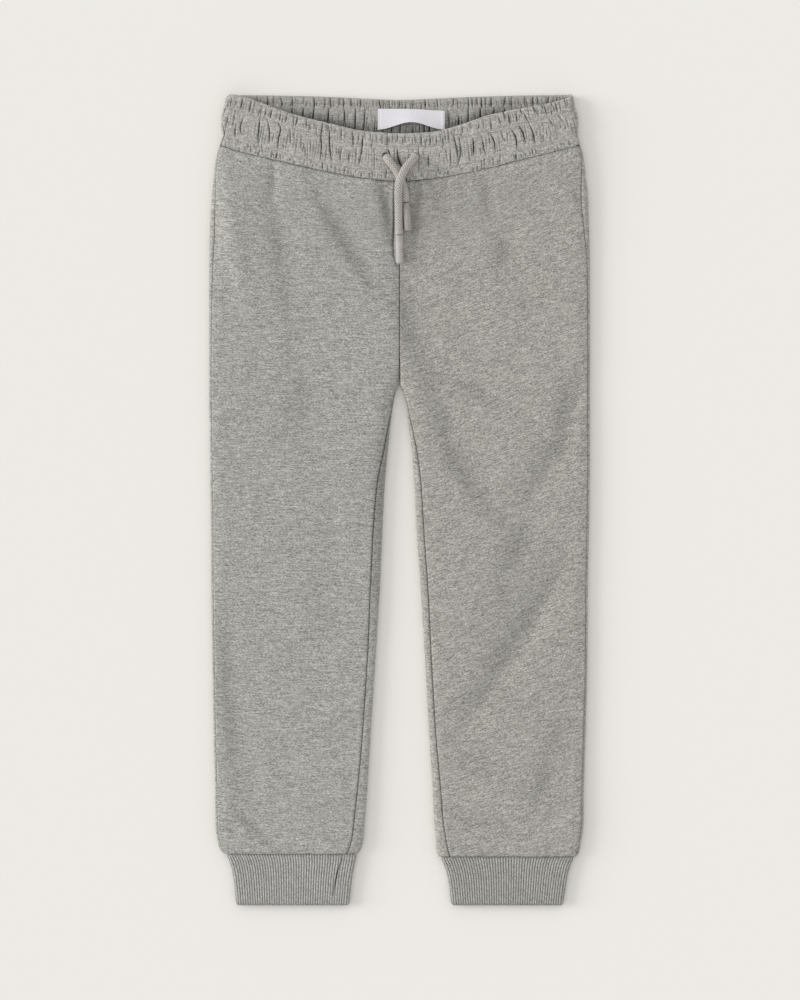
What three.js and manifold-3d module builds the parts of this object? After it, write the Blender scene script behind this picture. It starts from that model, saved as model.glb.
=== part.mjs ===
// A child's jogger sweatpants in sweatshirt fleece, laid flat on its back on a table, front up.
// Millimetres, +Z up. The origin is the middle of the garment's box at the surface that it lies on,
// +Y runs from the cuffs to the waist, and +X is to the right as seen from above.
import * as THREE from 'three';
import { mergeVertices } from 'three/addons/utils/BufferGeometryUtils.js';
import Module from 'manifold-3d';

// Sizes of the cloth and of the seams.
const CLOTH = 1.6; // wall of the fleece panels
const SEAM_GAP = 0.3; // between the edges of two pieces that are sewn together
const BAND_WALL = 3.8; // fleece folded over elastic, at the crest of a gather
const CUFF_WALL = 1.7; // rib knit, without its ribs
const RIB_HEIGHT = 0.6;
const LABEL_WALL = 1;

// Heights of the flattened tubes above the surface that the garment lies on.
const BAND_SIDE_HEIGHT = 9.5;
const BAND_CROWN = 3; // the front band stands this much higher in the middle than at its side folds
const CUFF_HEIGHT = 5.6;

// The waistband: how many gathers each face shows, and the depth of a gather and of a stitch line.
const FRONT_GATHERS = 34;
const BACK_GATHERS = 26;
const GATHER_DEPTH = 0.9;
const STITCH_DEPTH = 0.9;

const CUFF_RIBS = 49;
const CUFF_UNDERSIDE_STEPS = 10;

// The drawcord and its tips.
const CORD_DIAMETER = 5.8;
const CORD_SIDES = 10;
const TIP_DIAMETER = 5.7;
const CORD_CLEARANCE = 0.35;
const CORD_IN_HOLE = 0.7; // how far over the band's face the cord's middle starts, in its buttonhole
const CORD_STEP = 3.2; // between the points of a cord's route
const HOLE_REACH = 14; // the band is cut clear of the first stretch of the cord, of this length
const HOLE_BEHIND = 1.1; // and this far behind the cord's start

// The waist seam, the crotch and the cuff seams, as heights along the garment.
const WAIST_SIDE = 262;
const WAIST_EASE = 85; // below the waist seam, its curve has died away over this length
const CROTCH = 86.3;
const CROTCH_RISE = 26; // above the crotch, the panels bend towards each other over this length
const LEFT_CUFF_SEAM = -262;
const RIGHT_CUFF_SEAM = -264;
const HEM = -300;

// Sections of the body and legs, from the waist down. outer is a leg's side edge and inner its inside
// leg edge, which is the middle of the garment above the crotch. roll is how far the inseam lies over
// the inside leg fold onto the front, sideRoll how far the side seam lies over the side fold, both
// along the cloth, and height is the flattened tube's height at its folds.
const SECTIONS = {
  left: [
    { y: WAIST_SIDE, outer: -133.3, inner: 0, roll: 0, sideRoll: 3.0, height: 8.6 },
    { y: 253, outer: -135.8, inner: 0, roll: 0, sideRoll: 3.0, height: 8.2 },
    { y: 240, outer: -137.4, inner: 0, roll: 0, sideRoll: 3.4, height: 7.7 },
    { y: 222, outer: -139.3, inner: 0, roll: 0, sideRoll: 5.0, height: 7.1 },
    { y: 200, outer: -140.3, inner: 0, roll: 0, sideRoll: 5.6, height: 6.7 },
    { y: 172, outer: -140.9, inner: 0, roll: 0, sideRoll: 4.6, height: 6.4 },
    { y: 140, outer: -140.9, inner: 0, roll: 0, sideRoll: 3.6, height: 6.2 },
    { y: 112, outer: -140.9, inner: 0, roll: 0, sideRoll: 3.0, height: 6.0 },
    { y: 98, outer: -140.9, inner: 0, roll: 0, sideRoll: 3.0, height: 6.0 },
    { y: CROTCH, outer: -140.9, inner: 0, roll: 0.2, sideRoll: 3.0, height: 6.0 },
    { y: 81, outer: -140.9, inner: -2.2, roll: 0.4, sideRoll: 3.0, height: 6.0 },
    { y: 70, outer: -140.9, inner: -4.6, roll: 1.0, sideRoll: 3.0, height: 6.0 },
    { y: 56, outer: -140.5, inner: -6.6, roll: 2.8, sideRoll: 3.0, height: 6.0 },
    { y: 38, outer: -140.3, inner: -8.4, roll: 4.6, sideRoll: 3.0, height: 6.0 },
    { y: 12, outer: -140.1, inner: -10.8, roll: 7.4, sideRoll: 3.0, height: 6.0 },
    { y: -22, outer: -139.6, inner: -12.6, roll: 8.6, sideRoll: 3.0, height: 6.0 },
    { y: -66, outer: -139.4, inner: -14.5, roll: 8.8, sideRoll: 3.0, height: 6.0 },
    { y: -118, outer: -138.6, inner: -17.8, roll: 7.6, sideRoll: 3.0, height: 6.0 },
    { y: -170, outer: -137.7, inner: -21.1, roll: 7.8, sideRoll: 3.0, height: 6.2 },
    { y: -216, outer: -136.5, inner: -23.9, roll: 9.2, sideRoll: 3.0, height: 6.6 },
    { y: -240, outer: -136.3, inner: -25.8, roll: 10.0, sideRoll: 3.2, height: 6.9 },
    { y: -251, outer: -135.0, inner: -26.6, roll: 10.6, sideRoll: 3.4, height: 6.9 },
    { y: -258, outer: -133.4, inner: -28.2, roll: 11.0, sideRoll: 3.2, height: 6.4 },
    { y: LEFT_CUFF_SEAM, outer: -130.8, inner: -30.0, roll: 11.0, sideRoll: 3.0, height: 5.8 },
  ],
  right: [
    { y: WAIST_SIDE, outer: 134.2, inner: 0, roll: 0, sideRoll: 3.0, height: 8.6 },
    { y: 253, outer: 136.4, inner: 0, roll: 0, sideRoll: 3.4, height: 8.2 },
    { y: 240, outer: 137.8, inner: 0, roll: 0, sideRoll: 5.6, height: 7.7 },
    { y: 222, outer: 139.7, inner: 0, roll: 0, sideRoll: 7.4, height: 7.1 },
    { y: 200, outer: 140.3, inner: 0, roll: 0, sideRoll: 5.8, height: 6.7 },
    { y: 172, outer: 140.9, inner: 0, roll: 0, sideRoll: 3.8, height: 6.4 },
    { y: 140, outer: 140.9, inner: 0, roll: 0, sideRoll: 3.2, height: 6.2 },
    { y: 112, outer: 140.9, inner: 0, roll: 0, sideRoll: 3.0, height: 6.0 },
    { y: 98, outer: 140.9, inner: 0, roll: 0, sideRoll: 3.0, height: 6.0 },
    { y: CROTCH, outer: 140.9, inner: 0, roll: 0.2, sideRoll: 3.0, height: 6.0 },
    { y: 81, outer: 140.9, inner: 2.3, roll: 0.4, sideRoll: 3.0, height: 6.0 },
    { y: 70, outer: 140.9, inner: 5.0, roll: 1.6, sideRoll: 3.0, height: 6.0 },
    { y: 56, outer: 140.9, inner: 6.7, roll: 3.6, sideRoll: 3.0, height: 6.0 },
    { y: 38, outer: 140.9, inner: 9.0, roll: 5.2, sideRoll: 3.0, height: 6.0 },
    { y: 12, outer: 140.8, inner: 11.0, roll: 6.6, sideRoll: 3.0, height: 6.0 },
    { y: -22, outer: 140.3, inner: 12.7, roll: 7.0, sideRoll: 3.0, height: 6.0 },
    { y: -66, outer: 139.4, inner: 15.7, roll: 7.1, sideRoll: 3.0, height: 6.0 },
    { y: -118, outer: 139.1, inner: 18.9, roll: 6.4, sideRoll: 3.0, height: 6.0 },
    { y: -170, outer: 137.8, inner: 21.7, roll: 6.7, sideRoll: 3.0, height: 6.2 },
    { y: -216, outer: 136.5, inner: 24.6, roll: 7.9, sideRoll: 3.0, height: 6.6 },
    { y: -240, outer: 136.2, inner: 25.7, roll: 8.8, sideRoll: 3.2, height: 6.9 },
    { y: -251, outer: 134.9, inner: 26.9, roll: 9.4, sideRoll: 3.4, height: 6.9 },
    { y: -259, outer: 133.6, inner: 27.3, roll: 10.4, sideRoll: 3.2, height: 6.4 },
    { y: RIGHT_CUFF_SEAM, outer: 131.8, inner: 28.3, roll: 10.6, sideRoll: 3.0, height: 5.8 },
  ],
};

// Sections of the two cuffs, from the cuff seam to the hem. near and far are their left and right edges.
const CUFF_SECTIONS = {
  left: [
    { y: LEFT_CUFF_SEAM, near: -129.3, far: -31.1 },
    { y: -268, near: -126.0, far: -32.4 },
    { y: -280, near: -123.2, far: -34.8 },
    { y: HEM, near: -121.2, far: -36.9 },
  ],
  right: [
    { y: RIGHT_CUFF_SEAM, near: 29.4, far: 130.3 },
    { y: -270, near: 32.5, far: 127.1 },
    { y: -280, near: 35.6, far: 124.4 },
    { y: HEM, near: 38.1, far: 121.4 },
  ],
};

// The waistband's edges, as heights along the garment at places across it.
const BAND_EDGES = [
  { x: -134, backTop: 300, frontTop: 300, seam: 262 },
  { x: -122, backTop: 300, frontTop: 299.4, seam: 258.2 },
  { x: -108, backTop: 299.8, frontTop: 295.4, seam: 254.4 },
  { x: -91, backTop: 299.5, frontTop: 288.9, seam: 250.4 },
  { x: -70, backTop: 299.1, frontTop: 282.4, seam: 245.6 },
  { x: -48, backTop: 298.4, frontTop: 277.0, seam: 240.9 },
  { x: -25, backTop: 297.2, frontTop: 272.0, seam: 236.9 },
  { x: 0, backTop: 296.3, frontTop: 270.4, seam: 234.9 },
  { x: 22, backTop: 297.1, frontTop: 271.2, seam: 236.4 },
  { x: 44, backTop: 298.1, frontTop: 276.6, seam: 239.9 },
  { x: 66, backTop: 298.9, frontTop: 284.0, seam: 244.6 },
  { x: 89, backTop: 299.5, frontTop: 288.9, seam: 250.6 },
  { x: 108, backTop: 299.8, frontTop: 292.4, seam: 255.2 },
  { x: 122, backTop: 300, frontTop: 296.2, seam: 259.2 },
  { x: 134, backTop: 300, frontTop: 300, seam: 262 },
];

// Down the band, 0 at its top edge and 1 at the waist seam: how far its side folds stand out.
const BAND_OUTLINE = [
  { down: 0, left: -127.4, right: 128.0 },
  { down: 0.41, left: -131.9, right: 133.0 },
  { down: 1, left: -133.2, right: 133.9 },
];

// Its tiers: the share of a gather's depth and of the stitch lines' depth at each height.
const BAND_TIERS = [
  { down: 0, gather: 0.35, sunk: 1.2 },
  { down: 0.05, gather: 0.7, sunk: 0.25 },
  { down: 0.18, gather: 1, sunk: 0 },
  { down: 0.29, gather: 0.2, sunk: 1 },
  { down: 0.41, gather: 0.85, sunk: 0.1 },
  { down: 0.69, gather: 1, sunk: 0 },
  { down: 0.82, gather: 0.15, sunk: 1 },
  { down: 0.92, gather: 0.6, sunk: 0.2 },
  { down: 1, gather: 0.35, sunk: 1 },
];

// The largest folds of the front, each a soft trough (a depth under 0) or ridge along a bent line.
const FOLDS = [
  { name: 'crotch to right thigh', depth: -1.7, width: 10,
    line: [[-2, 182], [8, 125], [23, 92], [30, 59], [38, 29], [53, 10], [71, -12]] },
  { name: 'branch over right thigh', depth: -0.9, width: 8,
    line: [[24, 94], [52, 84], [84, 69]] },
  { name: 'right side to knee', depth: -1.3, width: 10,
    line: [[130, 92], [122, 52], [104, 15], [89, -22], [75, -48]] },
  { name: 'right shin', depth: -1.3, width: 9,
    line: [[119, -46], [100, -82], [82, -115], [66, -141], [51, -160]] },
  { name: 'above right cuff', depth: -0.9, width: 8,
    line: [[29, -224], [60, -236], [88, -243]] },
  { name: 'right ankle', depth: -0.7, width: 8,
    line: [[120, -194], [102, -220]] },
  { name: 'left hip slant', depth: -1.5, width: 9,
    line: [[-66, 236], [-48, 210], [-33, 181], [-16, 154]] },
  { name: 'left hip upright', depth: -1.1, width: 10,
    line: [[-96, 248], [-96, 200], [-85, 148], [-80, 108]] },
  { name: 'left leg upright', depth: -1.0, width: 10,
    line: [[-120, -66], [-121, -152], [-114, -207], [-108, -244]] },
  { name: 'left side', depth: 1.0, width: 11,
    line: [[-128, 226], [-122, 176], [-120, 130]] },
  { name: 'right hip', depth: -0.8, width: 8,
    line: [[66, 212], [78, 182]] },
  { name: 'right thigh crest', depth: 1.2, width: 12,
    line: [[46, 66], [58, 34], [80, 14]] },
  { name: 'right knee crest', depth: 1.0, width: 12,
    line: [[108, -22], [90, -62], [70, -96]] },
  { name: 'left knee crest', depth: 0.8, width: 14,
    line: [[-60, 30], [-78, -40], [-70, -110]] },
];
const CROWN = 1; // how much higher the middle of a leg stands than its folds
const FOLD_FADE = 18; // the crown and the folds die away over this width at a leg's folds

// The free ends of the drawcord, from the buttonhole down. over is how far a point's middle stands
// above a cord that rests on the front.
const LONG_CORD = [
  { x: 11.8, y: 253.4, over: 0 },
  { x: 9.4, y: 249.9, over: 0.3 },
  { x: 6.4, y: 246.4, over: 2.6 },
  { x: 4.1, y: 243.0, over: 4.9 },
  { x: 2.4, y: 239.6, over: 6.4 },
  { x: 0.8, y: 236.0, over: 6.9 },
  { x: -0.4, y: 231.6, over: 6.5 },
  { x: -0.8, y: 226.6, over: 4.8 },
  { x: -0.8, y: 221.0, over: 2.8 },
  { x: -0.7, y: 215.0, over: 1.1 },
  { x: -0.6, y: 209.0, over: 0.3 },
  { x: -0.5, y: 202.5, over: 0 },
  { x: -0.4, y: 195.8, over: 0 },
];
const SHORT_CORD = [
  { x: -11.2, y: 253.8, over: 0 },
  { x: -8.6, y: 249.8, over: 0.2 },
  { x: -5.6, y: 246.2, over: 0.2 },
  { x: -2.8, y: 242.8, over: 0.2 },
  { x: -0.6, y: 239.0, over: 0.2 },
  { x: 1.7, y: 234.6, over: 0.1 },
  { x: 3.8, y: 229.8, over: 0 },
  { x: 5.2, y: 224.8, over: 0 },
  { x: 5.7, y: 219.8, over: 0 },
];
const LONG_TIP = { start: [-0.4, 195.5], end: [0.1, 174.0] };
const SHORT_TIP = { start: [5.75, 219.4], end: [7.4, 198.0] };

// The label: its ends lie on the band and its middle bows up, its lower edge rising with it.
const LABEL = { left: -15, right: 33.6, top: 288.2, bottom: 273.8, bow: 5.2, lift: 2.6, steps: 12 };

const clamp01 = (t) => Math.min(1, Math.max(0, t));
const smooth = (t) => clamp01(t) ** 2 * (3 - 2 * clamp01(t));
const mix = (a, b, t) => a + (b - a) * t;

// Reads every number of a table at a place between its rows.
function readRow(table, key, at) {
  const rising = table[table.length - 1][key] > table[0][key];
  const before = (row) => (rising ? row[key] < at : row[key] > at);
  const next = Math.min(table.length - 1, Math.max(1, table.filter(before).length));
  const [a, b] = [table[next - 1], table[next]];
  const share = clamp01((at - a[key]) / (b[key] - a[key]));
  const numbers = Object.keys(a).map((name) => [name, mix(a[name], b[name], share)]);
  return Object.fromEntries(numbers);
}

// The same for one column, on a smooth curve through the rows.
function readCurve(table, key, at, column) {
  const last = table.length - 1;
  const next = Math.min(last, Math.max(1, table.filter((row) => row[key] < at).length));
  const rows = [next - 2, next - 1, next, next + 1].map((i) => table[Math.min(last, Math.max(0, i))]);
  const [p0, p1, p2, p3] = rows.map((row) => row[column]);
  const t = clamp01((at - rows[1][key]) / (rows[2][key] - rows[1][key]));
  return p1 + 0.5 * t * (p2 - p0 + t * (2 * p0 - 5 * p1 + 4 * p2 - p3 + t * (3 * (p1 - p2) + p3 - p0)));
}

const seamHeight = (x) => readCurve(BAND_EDGES, 'x', x, 'seam');
const frontTopHeight = (x) => readCurve(BAND_EDGES, 'x', x, 'frontTop');
const backTopHeight = (x) => readCurve(BAND_EDGES, 'x', x, 'backTop');

// A point of a flattened tube's outer face, seen along the leg. along is measured on the cloth from
// the outer fold over the top, and on round the inner fold and back under it. q is the distance from
// the outer fold's edge, and nq and nz are the outward direction.
function tubePoint(width, height, along) {
  const r = height / 2;
  const quarter = (Math.PI * r) / 2;
  const half = width - height + 2 * quarter;
  const round = ((along % (2 * half)) + 2 * half) % (2 * half);
  const under = round > half;
  const onHalf = under ? 2 * half - round : round;
  const sign = under ? -1 : 1;
  if (onHalf < quarter) {
    const angle = onHalf / r;
    const [nq, nz] = [-Math.cos(angle), sign * Math.sin(angle)];
    return { q: r + r * nq, z: r + r * nz, nq, nz };
  }
  if (onHalf > half - quarter) {
    const angle = (half - onHalf) / r;
    const [nq, nz] = [Math.cos(angle), sign * Math.sin(angle)];
    return { q: width - r + r * nq, z: r + r * nz, nq, nz };
  }
  return { q: r + onHalf - quarter, z: r + sign * r, nq: 0, nz: sign };
}

// How far one fold moves a point of the front up or down.
function foldAt(fold, x, y) {
  let best = { distance: Infinity, along: 0 };
  const steps = fold.line.length - 1;
  for (let i = 0; i < steps; i += 1) {
    const [ax, ay] = fold.line[i];
    const [bx, by] = fold.line[i + 1];
    const t = ((x - ax) * (bx - ax) + (y - ay) * (by - ay)) / ((bx - ax) ** 2 + (by - ay) ** 2);
    const on = clamp01(t);
    const distance = Math.hypot(x - mix(ax, bx, on), y - mix(ay, by, on));
    if (distance < best.distance) best = { distance, along: (i + on) / steps };
  }
  const fade = Math.sin(Math.PI * mix(0.12, 0.88, best.along));
  return fold.depth * fade * Math.exp(-((best.distance / fold.width) ** 2));
}
const foldsAt = (x, y) => FOLDS.reduce((sum, fold) => sum + foldAt(fold, x, y), 0);

// How high the front band's middle stands over its side folds.
const bandCrown = (x) => BAND_CROWN * clamp01(1 - (x / 128) ** 2);

// How far the front panel's face stands above the height of its tube's folds.
function panelCrown(section, side, x, y, closed) {
  const fromOuter = Math.abs(x - section.outer);
  const fromInner = Math.abs(x - section.inner);
  const outerFade = smooth(fromOuter / FOLD_FADE);
  const innerFade = mix(1, smooth(fromInner / FOLD_FADE), closed);
  const waistCrown = bandCrown(x) * (1 - smooth((seamHeight(x) - y) / 46));
  return outerFade * innerFade * (CROWN + waistCrown + foldsAt(x, y));
}

// Closes two faces, an outer and an inner grid of points with the same columns, into one wall. Its
// rows may differ in number: downs says how far down each row lies. A ring joins its last column to
// its first.
function closedWall(outer, inner, ring) {
  const points = [];
  const addGrid = (grid) => grid.rows.map((row) => row.map((point) => points.push(point) - 1));
  const [outerIds, innerIds] = [addGrid(outer), addGrid(inner)];
  const columns = outer.rows[0].length;
  const lastColumn = ring ? columns : columns - 1;
  const triangles = [];
  const quad = (a, b, c, d) => triangles.push(a, b, c, a, c, d);
  const face = (ids, flip) => {
    for (let i = 0; i + 1 < ids.length; i += 1) {
      for (let j = 0; j < lastColumn; j += 1) {
        const k = (j + 1) % columns;
        if (flip) quad(ids[i][j], ids[i + 1][j], ids[i + 1][k], ids[i][k]);
        else quad(ids[i][j], ids[i][k], ids[i + 1][k], ids[i + 1][j]);
      }
    }
  };
  face(outerIds, true);
  face(innerIds, false);
  const [outerEnd, innerEnd] = [outerIds[outerIds.length - 1], innerIds[innerIds.length - 1]];
  for (let j = 0; j < lastColumn; j += 1) {
    const k = (j + 1) % columns;
    quad(outerIds[0][j], outerIds[0][k], innerIds[0][k], innerIds[0][j]);
    quad(outerEnd[j], innerEnd[j], innerEnd[k], outerEnd[k]);
  }
  const sideStrip = (j, flip) => {
    let [o, i] = [0, 0];
    const add = (a, b, c) => (flip ? triangles.push(a, c, b) : triangles.push(a, b, c));
    while (o + 1 < outer.downs.length || i + 1 < inner.downs.length) {
      const outerNext = o + 1 < outer.downs.length ? outer.downs[o + 1] : Infinity;
      const innerNext = i + 1 < inner.downs.length ? inner.downs[i + 1] : Infinity;
      if (outerNext <= innerNext) {
        add(outerIds[o][j], innerIds[i][j], outerIds[o + 1][j]);
        o += 1;
      } else {
        add(outerIds[o][j], innerIds[i][j], innerIds[i + 1][j]);
        i += 1;
      }
    }
  };
  if (!ring) {
    sideStrip(0, false);
    sideStrip(columns - 1, true);
  }
  return solidFrom(points, triangles);
}

// A geometry from points and triangles, merged, and turned the right way out.
function solidFrom(points, triangles) {
  const geometry = new THREE.BufferGeometry();
  geometry.setAttribute('position', new THREE.Float32BufferAttribute(points.flat(), 3));
  geometry.setIndex(triangles);
  const merged = mergeVertices(geometry, 1e-3);
  const index = merged.index.array;
  const position = merged.attributes.position;
  const [a, b, c] = [new THREE.Vector3(), new THREE.Vector3(), new THREE.Vector3()];
  let volume = 0;
  for (let i = 0; i < index.length; i += 3) {
    a.fromBufferAttribute(position, index[i]);
    b.fromBufferAttribute(position, index[i + 1]);
    c.fromBufferAttribute(position, index[i + 2]);
    volume += a.dot(b.cross(c));
  }
  if (volume < 0) {
    for (let i = 0; i < index.length; i += 3) [index[i + 1], index[i + 2]] = [index[i + 2], index[i + 1]];
  }
  merged.computeVertexNormals();
  return merged;
}

// Stops between two numbers, not counting the first.
const stops = (from, to, count) => Array.from({ length: count }, (_, i) => mix(from, to, (i + 1) / count));

// The heights of the rows of a panel: the table's own, and more between them where they are far apart.
function rowHeights(table, longest) {
  const heights = [table[0].y];
  for (let i = 1; i < table.length; i += 1) {
    const span = table[i - 1].y - table[i].y;
    heights.push(...stops(table[i - 1].y, table[i].y, Math.ceil(span / longest)));
  }
  return heights;
}

// One leg panel, front or back. Its columns run from the side seam to the middle of the garment, or
// below the crotch to the inseam. There the panel's end follows the leg's tube round, and above the
// crotch it lies flat, so that the crotch bends smoothly from the one to the other.
function legPanel(side, isFront) {
  const table = SECTIONS[side];
  const turn = side === 'left' ? 1 : -1;
  const level = isFront ? 1 : -1;
  const flatSteps = isFront ? 13 : 3;
  const endSteps = isFront ? 3 : 6;
  const heights = rowHeights(table, isFront ? 17.5 : 60);
  const [outer, inner] = [[], []];
  const gap = SEAM_GAP / 2;
  heights.forEach((y, rowNumber) => {
    const section = readRow(table, 'y', y);
    const { height, roll, sideRoll } = section;
    const closed = smooth((CROTCH + CROTCH_RISE - y) / CROTCH_RISE);
    const width = Math.abs(section.inner - section.outer) - (y > CROTCH - 20 ? gap : 0);
    const quarter = (Math.PI * height) / 4;
    const half = width - height + 2 * quarter;
    const start = level * sideRoll + gap;
    const flatEnd = width - height / 2 + quarter;
    const tubeEnd = half - level * roll - gap;
    const bend = Math.min(half - quarter, tubeEnd - 3);
    const alongs = [start, ...stops(start, quarter, isFront ? 2 : 3), ...stops(quarter, bend, flatSteps)];
    const ends = stops(bend, tubeEnd, endSteps).map((along, i) => {
      return { along, flat: mix(bend, flatEnd, (i + 1) / endSteps) };
    });
    const [outerRow, innerRow] = [[], []];
    const addPoint = (onTube, flatAlong) => {
      const tube = tubePoint(width, height, level * onTube);
      const flat = { q: height / 2 + flatAlong - quarter, z: isFront ? height : 0, nq: 0, nz: level };
      const isEnd = onTube > bend;
      const share = isEnd ? closed : 1;
      const point = { q: mix(flat.q, tube.q, share), z: mix(flat.z, tube.z, share) };
      const normal = { q: mix(flat.nq, tube.nq, share), z: mix(flat.nz, tube.nz, share) };
      const x = section.outer + turn * point.q;
      const upOnTube = clamp01((2 * tube.z) / height - 1);
      const onTop = mix(isFront ? 1 : 0, upOnTube, share);
      const ease = 1 - smooth((WAIST_SIDE - y) / WAIST_EASE);
      const seam = isFront ? seamHeight(x) : WAIST_SIDE;
      const atTop = rowNumber === 0 ? gap : 0;
      const atEnd = rowNumber === heights.length - 1 ? gap : 0;
      const placedY = y + (seam - WAIST_SIDE) * ease - atTop + atEnd;
      const raised = onTop * panelCrown(section, side, x, placedY, closed);
      outerRow.push([x, placedY, point.z + raised]);
      innerRow.push([x - turn * normal.q * CLOTH, placedY, point.z - normal.z * CLOTH + raised]);
    };
    alongs.forEach((along) => addPoint(along, along));
    ends.forEach(({ along, flat }) => addPoint(along, flat));
    outer.push(outerRow);
    inner.push(innerRow);
  });
  const downs = heights.map((_, i) => i);
  return closedWall({ rows: outer, downs }, { rows: inner, downs }, false);
}

// Places across a gathered band: the start of each gather, and two places on its crest. The gathers
// are uneven in width, and each has a strength of its own.
function gatherPlaces(count) {
  const widthOf = (i) => 1 + 0.3 * Math.sin(2.1 * i) + 0.18 * Math.sin(5.3 * i + 1);
  const widths = Array.from({ length: count }, (_, i) => widthOf(i));
  const total = widths.reduce((sum, width) => sum + width, 0);
  const places = [{ at: 0, raised: 0, gather: 0 }];
  let start = 0;
  widths.forEach((width, i) => {
    places.push({ at: start + (0.3 * width) / total, raised: 1, gather: i });
    places.push({ at: start + (0.72 * width) / total, raised: 0.9, gather: i });
    start += width / total;
    places.push({ at: start, raised: 0, gather: i });
  });
  return places;
}
const gatherStrength = (gather, tier) => 0.55 + 0.45 * Math.abs(Math.sin(1.7 * gather + 2.3 * tier));

// Half of the waistband, its front or its back, over the whole width. The front's gathers are on its
// outer face. The back lies on its plain outer face, and its gathers are on the face that shows.
function bandHalf(isFront) {
  const gap = SEAM_GAP / 2;
  const level = isFront ? 1 : -1;
  const height = BAND_SIDE_HEIGHT;
  const quarter = (Math.PI * height) / 4;
  const sideRoll = 3.7;
  const places = gatherPlaces(isFront ? FRONT_GATHERS : BACK_GATHERS);
  const pointAt = (row, place, depth) => {
    const width = row.right - row.left;
    const tube = tubePoint(width, height, level * place.along);
    const x = row.left + tube.q;
    const top = isFront ? frontTopHeight(x) : backTopHeight(x);
    const seam = (isFront ? seamHeight(x) : WAIST_SIDE) + gap;
    const raised = isFront ? bandCrown(x) * clamp01((2 * tube.z) / height - 1) : 0;
    return [x - tube.nq * depth, mix(top, seam, row.down), tube.z - tube.nz * depth + raised];
  };
  const lowered = (row, tier, place) => {
    const gathered = GATHER_DEPTH * row.gather * (1 - place.raised * gatherStrength(place.gather, tier));
    return row.sunk * STITCH_DEPTH + gathered;
  };
  const columnPlaces = (row) => {
    const width = row.right - row.left;
    const half = width - height + 2 * quarter;
    const start = level * sideRoll + gap;
    const fold = { raised: 1, gather: 0 };
    const flat = [quarter, half - quarter];
    const middle = places.map((place) => ({ ...place, along: mix(flat[0], flat[1], place.at) }));
    const first = [{ ...fold, along: start }, { ...fold, along: mix(start, quarter, isFront ? 0.5 : 0.35) }];
    const second = isFront ? [] : [{ ...fold, along: mix(start, quarter, 0.7) }];
    const head = [...first, ...second];
    const tail = head.map((place) => ({ ...place, along: half - place.along })).reverse();
    return [...head, ...middle, ...tail];
  };
  const tiers = BAND_TIERS.map((tier) => ({ ...tier, ...readRow(BAND_OUTLINE, 'down', tier.down) }));
  const detailed = tiers.map((row, tier) => columnPlaces(row).map((place) => {
    const depth = lowered(row, tier, place);
    return pointAt(row, place, isFront ? depth : BAND_WALL - depth);
  }));
  const plain = BAND_OUTLINE.map((row) => columnPlaces(row).map((place) => {
    return pointAt(row, place, isFront ? BAND_WALL : 0);
  }));
  const detailedFace = { rows: detailed, downs: tiers.map((row) => row.down) };
  const plainFace = { rows: plain, downs: BAND_OUTLINE.map((row) => row.down) };
  return closedWall(detailedFace, plainFace, false);
}

// A cuff: a ring of rib knit. Ribs are raised on its top face and round its folds, over a plain
// inside, and the underside lies flat.
function cuff(side) {
  const table = CUFF_SECTIONS[side];
  const gap = SEAM_GAP / 2;
  const [outer, inner] = [[], []];
  table.forEach((section, rowNumber) => {
    const width = section.far - section.near - 2 * RIB_HEIGHT;
    const quarter = (Math.PI * CUFF_HEIGHT) / 4;
    const half = width - CUFF_HEIGHT + 2 * quarter;
    const y = section.y - (rowNumber === 0 ? gap : 0);
    const isEnd = rowNumber === 0 || rowNumber === table.length - 1;
    const ribHeight = RIB_HEIGHT * (isEnd ? 0.3 : 1);
    const [outerRow, innerRow] = [[], []];
    const addPoint = (along, raised) => {
      const tube = tubePoint(width, CUFF_HEIGHT, along);
      const x = section.near + RIB_HEIGHT + tube.q;
      outerRow.push([x + tube.nq * raised, y, tube.z + tube.nz * raised]);
      innerRow.push([x - tube.nq * CUFF_WALL, y, tube.z - tube.nz * CUFF_WALL]);
    };
    for (let i = 0; i < 2 * CUFF_RIBS; i += 1) {
      const isCrest = i % 2 === 1;
      addPoint((half * i) / (2 * CUFF_RIBS), isCrest ? ribHeight : 0);
    }
    addPoint(half, 0);
    const underside = [0.5 * quarter, ...stops(quarter, half - quarter, CUFF_UNDERSIDE_STEPS - 2)];
    [...underside, half - 0.5 * quarter].reverse().forEach((along) => addPoint(-along, 0));
    outer.push(outerRow);
    if (rowNumber !== 1) inner.push(innerRow);
  });
  return closedWall({ rows: outer, downs: [] }, { rows: inner, downs: [] }, true);
}

// The height of the top face of the front at a place: the band's crest above the waist seam, and the
// front panels below it.
function topFace(x, y) {
  const onBand = BAND_SIDE_HEIGHT + bandCrown(x);
  const side = x < 0 ? 'left' : 'right';
  const section = readRow(SECTIONS[side], 'y', Math.min(WAIST_SIDE, nominalHeight(x, y)));
  const onPanel = section.height + panelCrown(section, side, x, y, 0);
  return mix(onPanel, onBand, smooth((y - seamHeight(x) + 4) / 5));
}

// The row of the sections that the front's cloth at a place comes from: the waist seam's curve pulls
// the rows near it down.
function nominalHeight(x, y) {
  let row = y;
  for (let i = 0; i < 12; i += 1) {
    row = y - (seamHeight(x) - WAIST_SIDE) * (1 - smooth((WAIST_SIDE - row) / WAIST_EASE));
  }
  return row;
}

// The middle of a cord's free end, as even steps on a smooth curve through its route. Its first point
// lies in the buttonhole.
function cordRoute(route) {
  const places = route.map(({ x, y, over }, i) => {
    const resting = topFace(x, y) + CORD_DIAMETER / 2 + CORD_CLEARANCE;
    const z = i === 0 ? topFace(x, y) + CORD_IN_HOLE : resting + over;
    return new THREE.Vector3(x, y, z);
  });
  const curve = new THREE.CatmullRomCurve3(places, false, 'centripetal');
  return curve.getSpacedPoints(Math.max(15, Math.round(curve.getLength() / CORD_STEP)));
}

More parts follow.
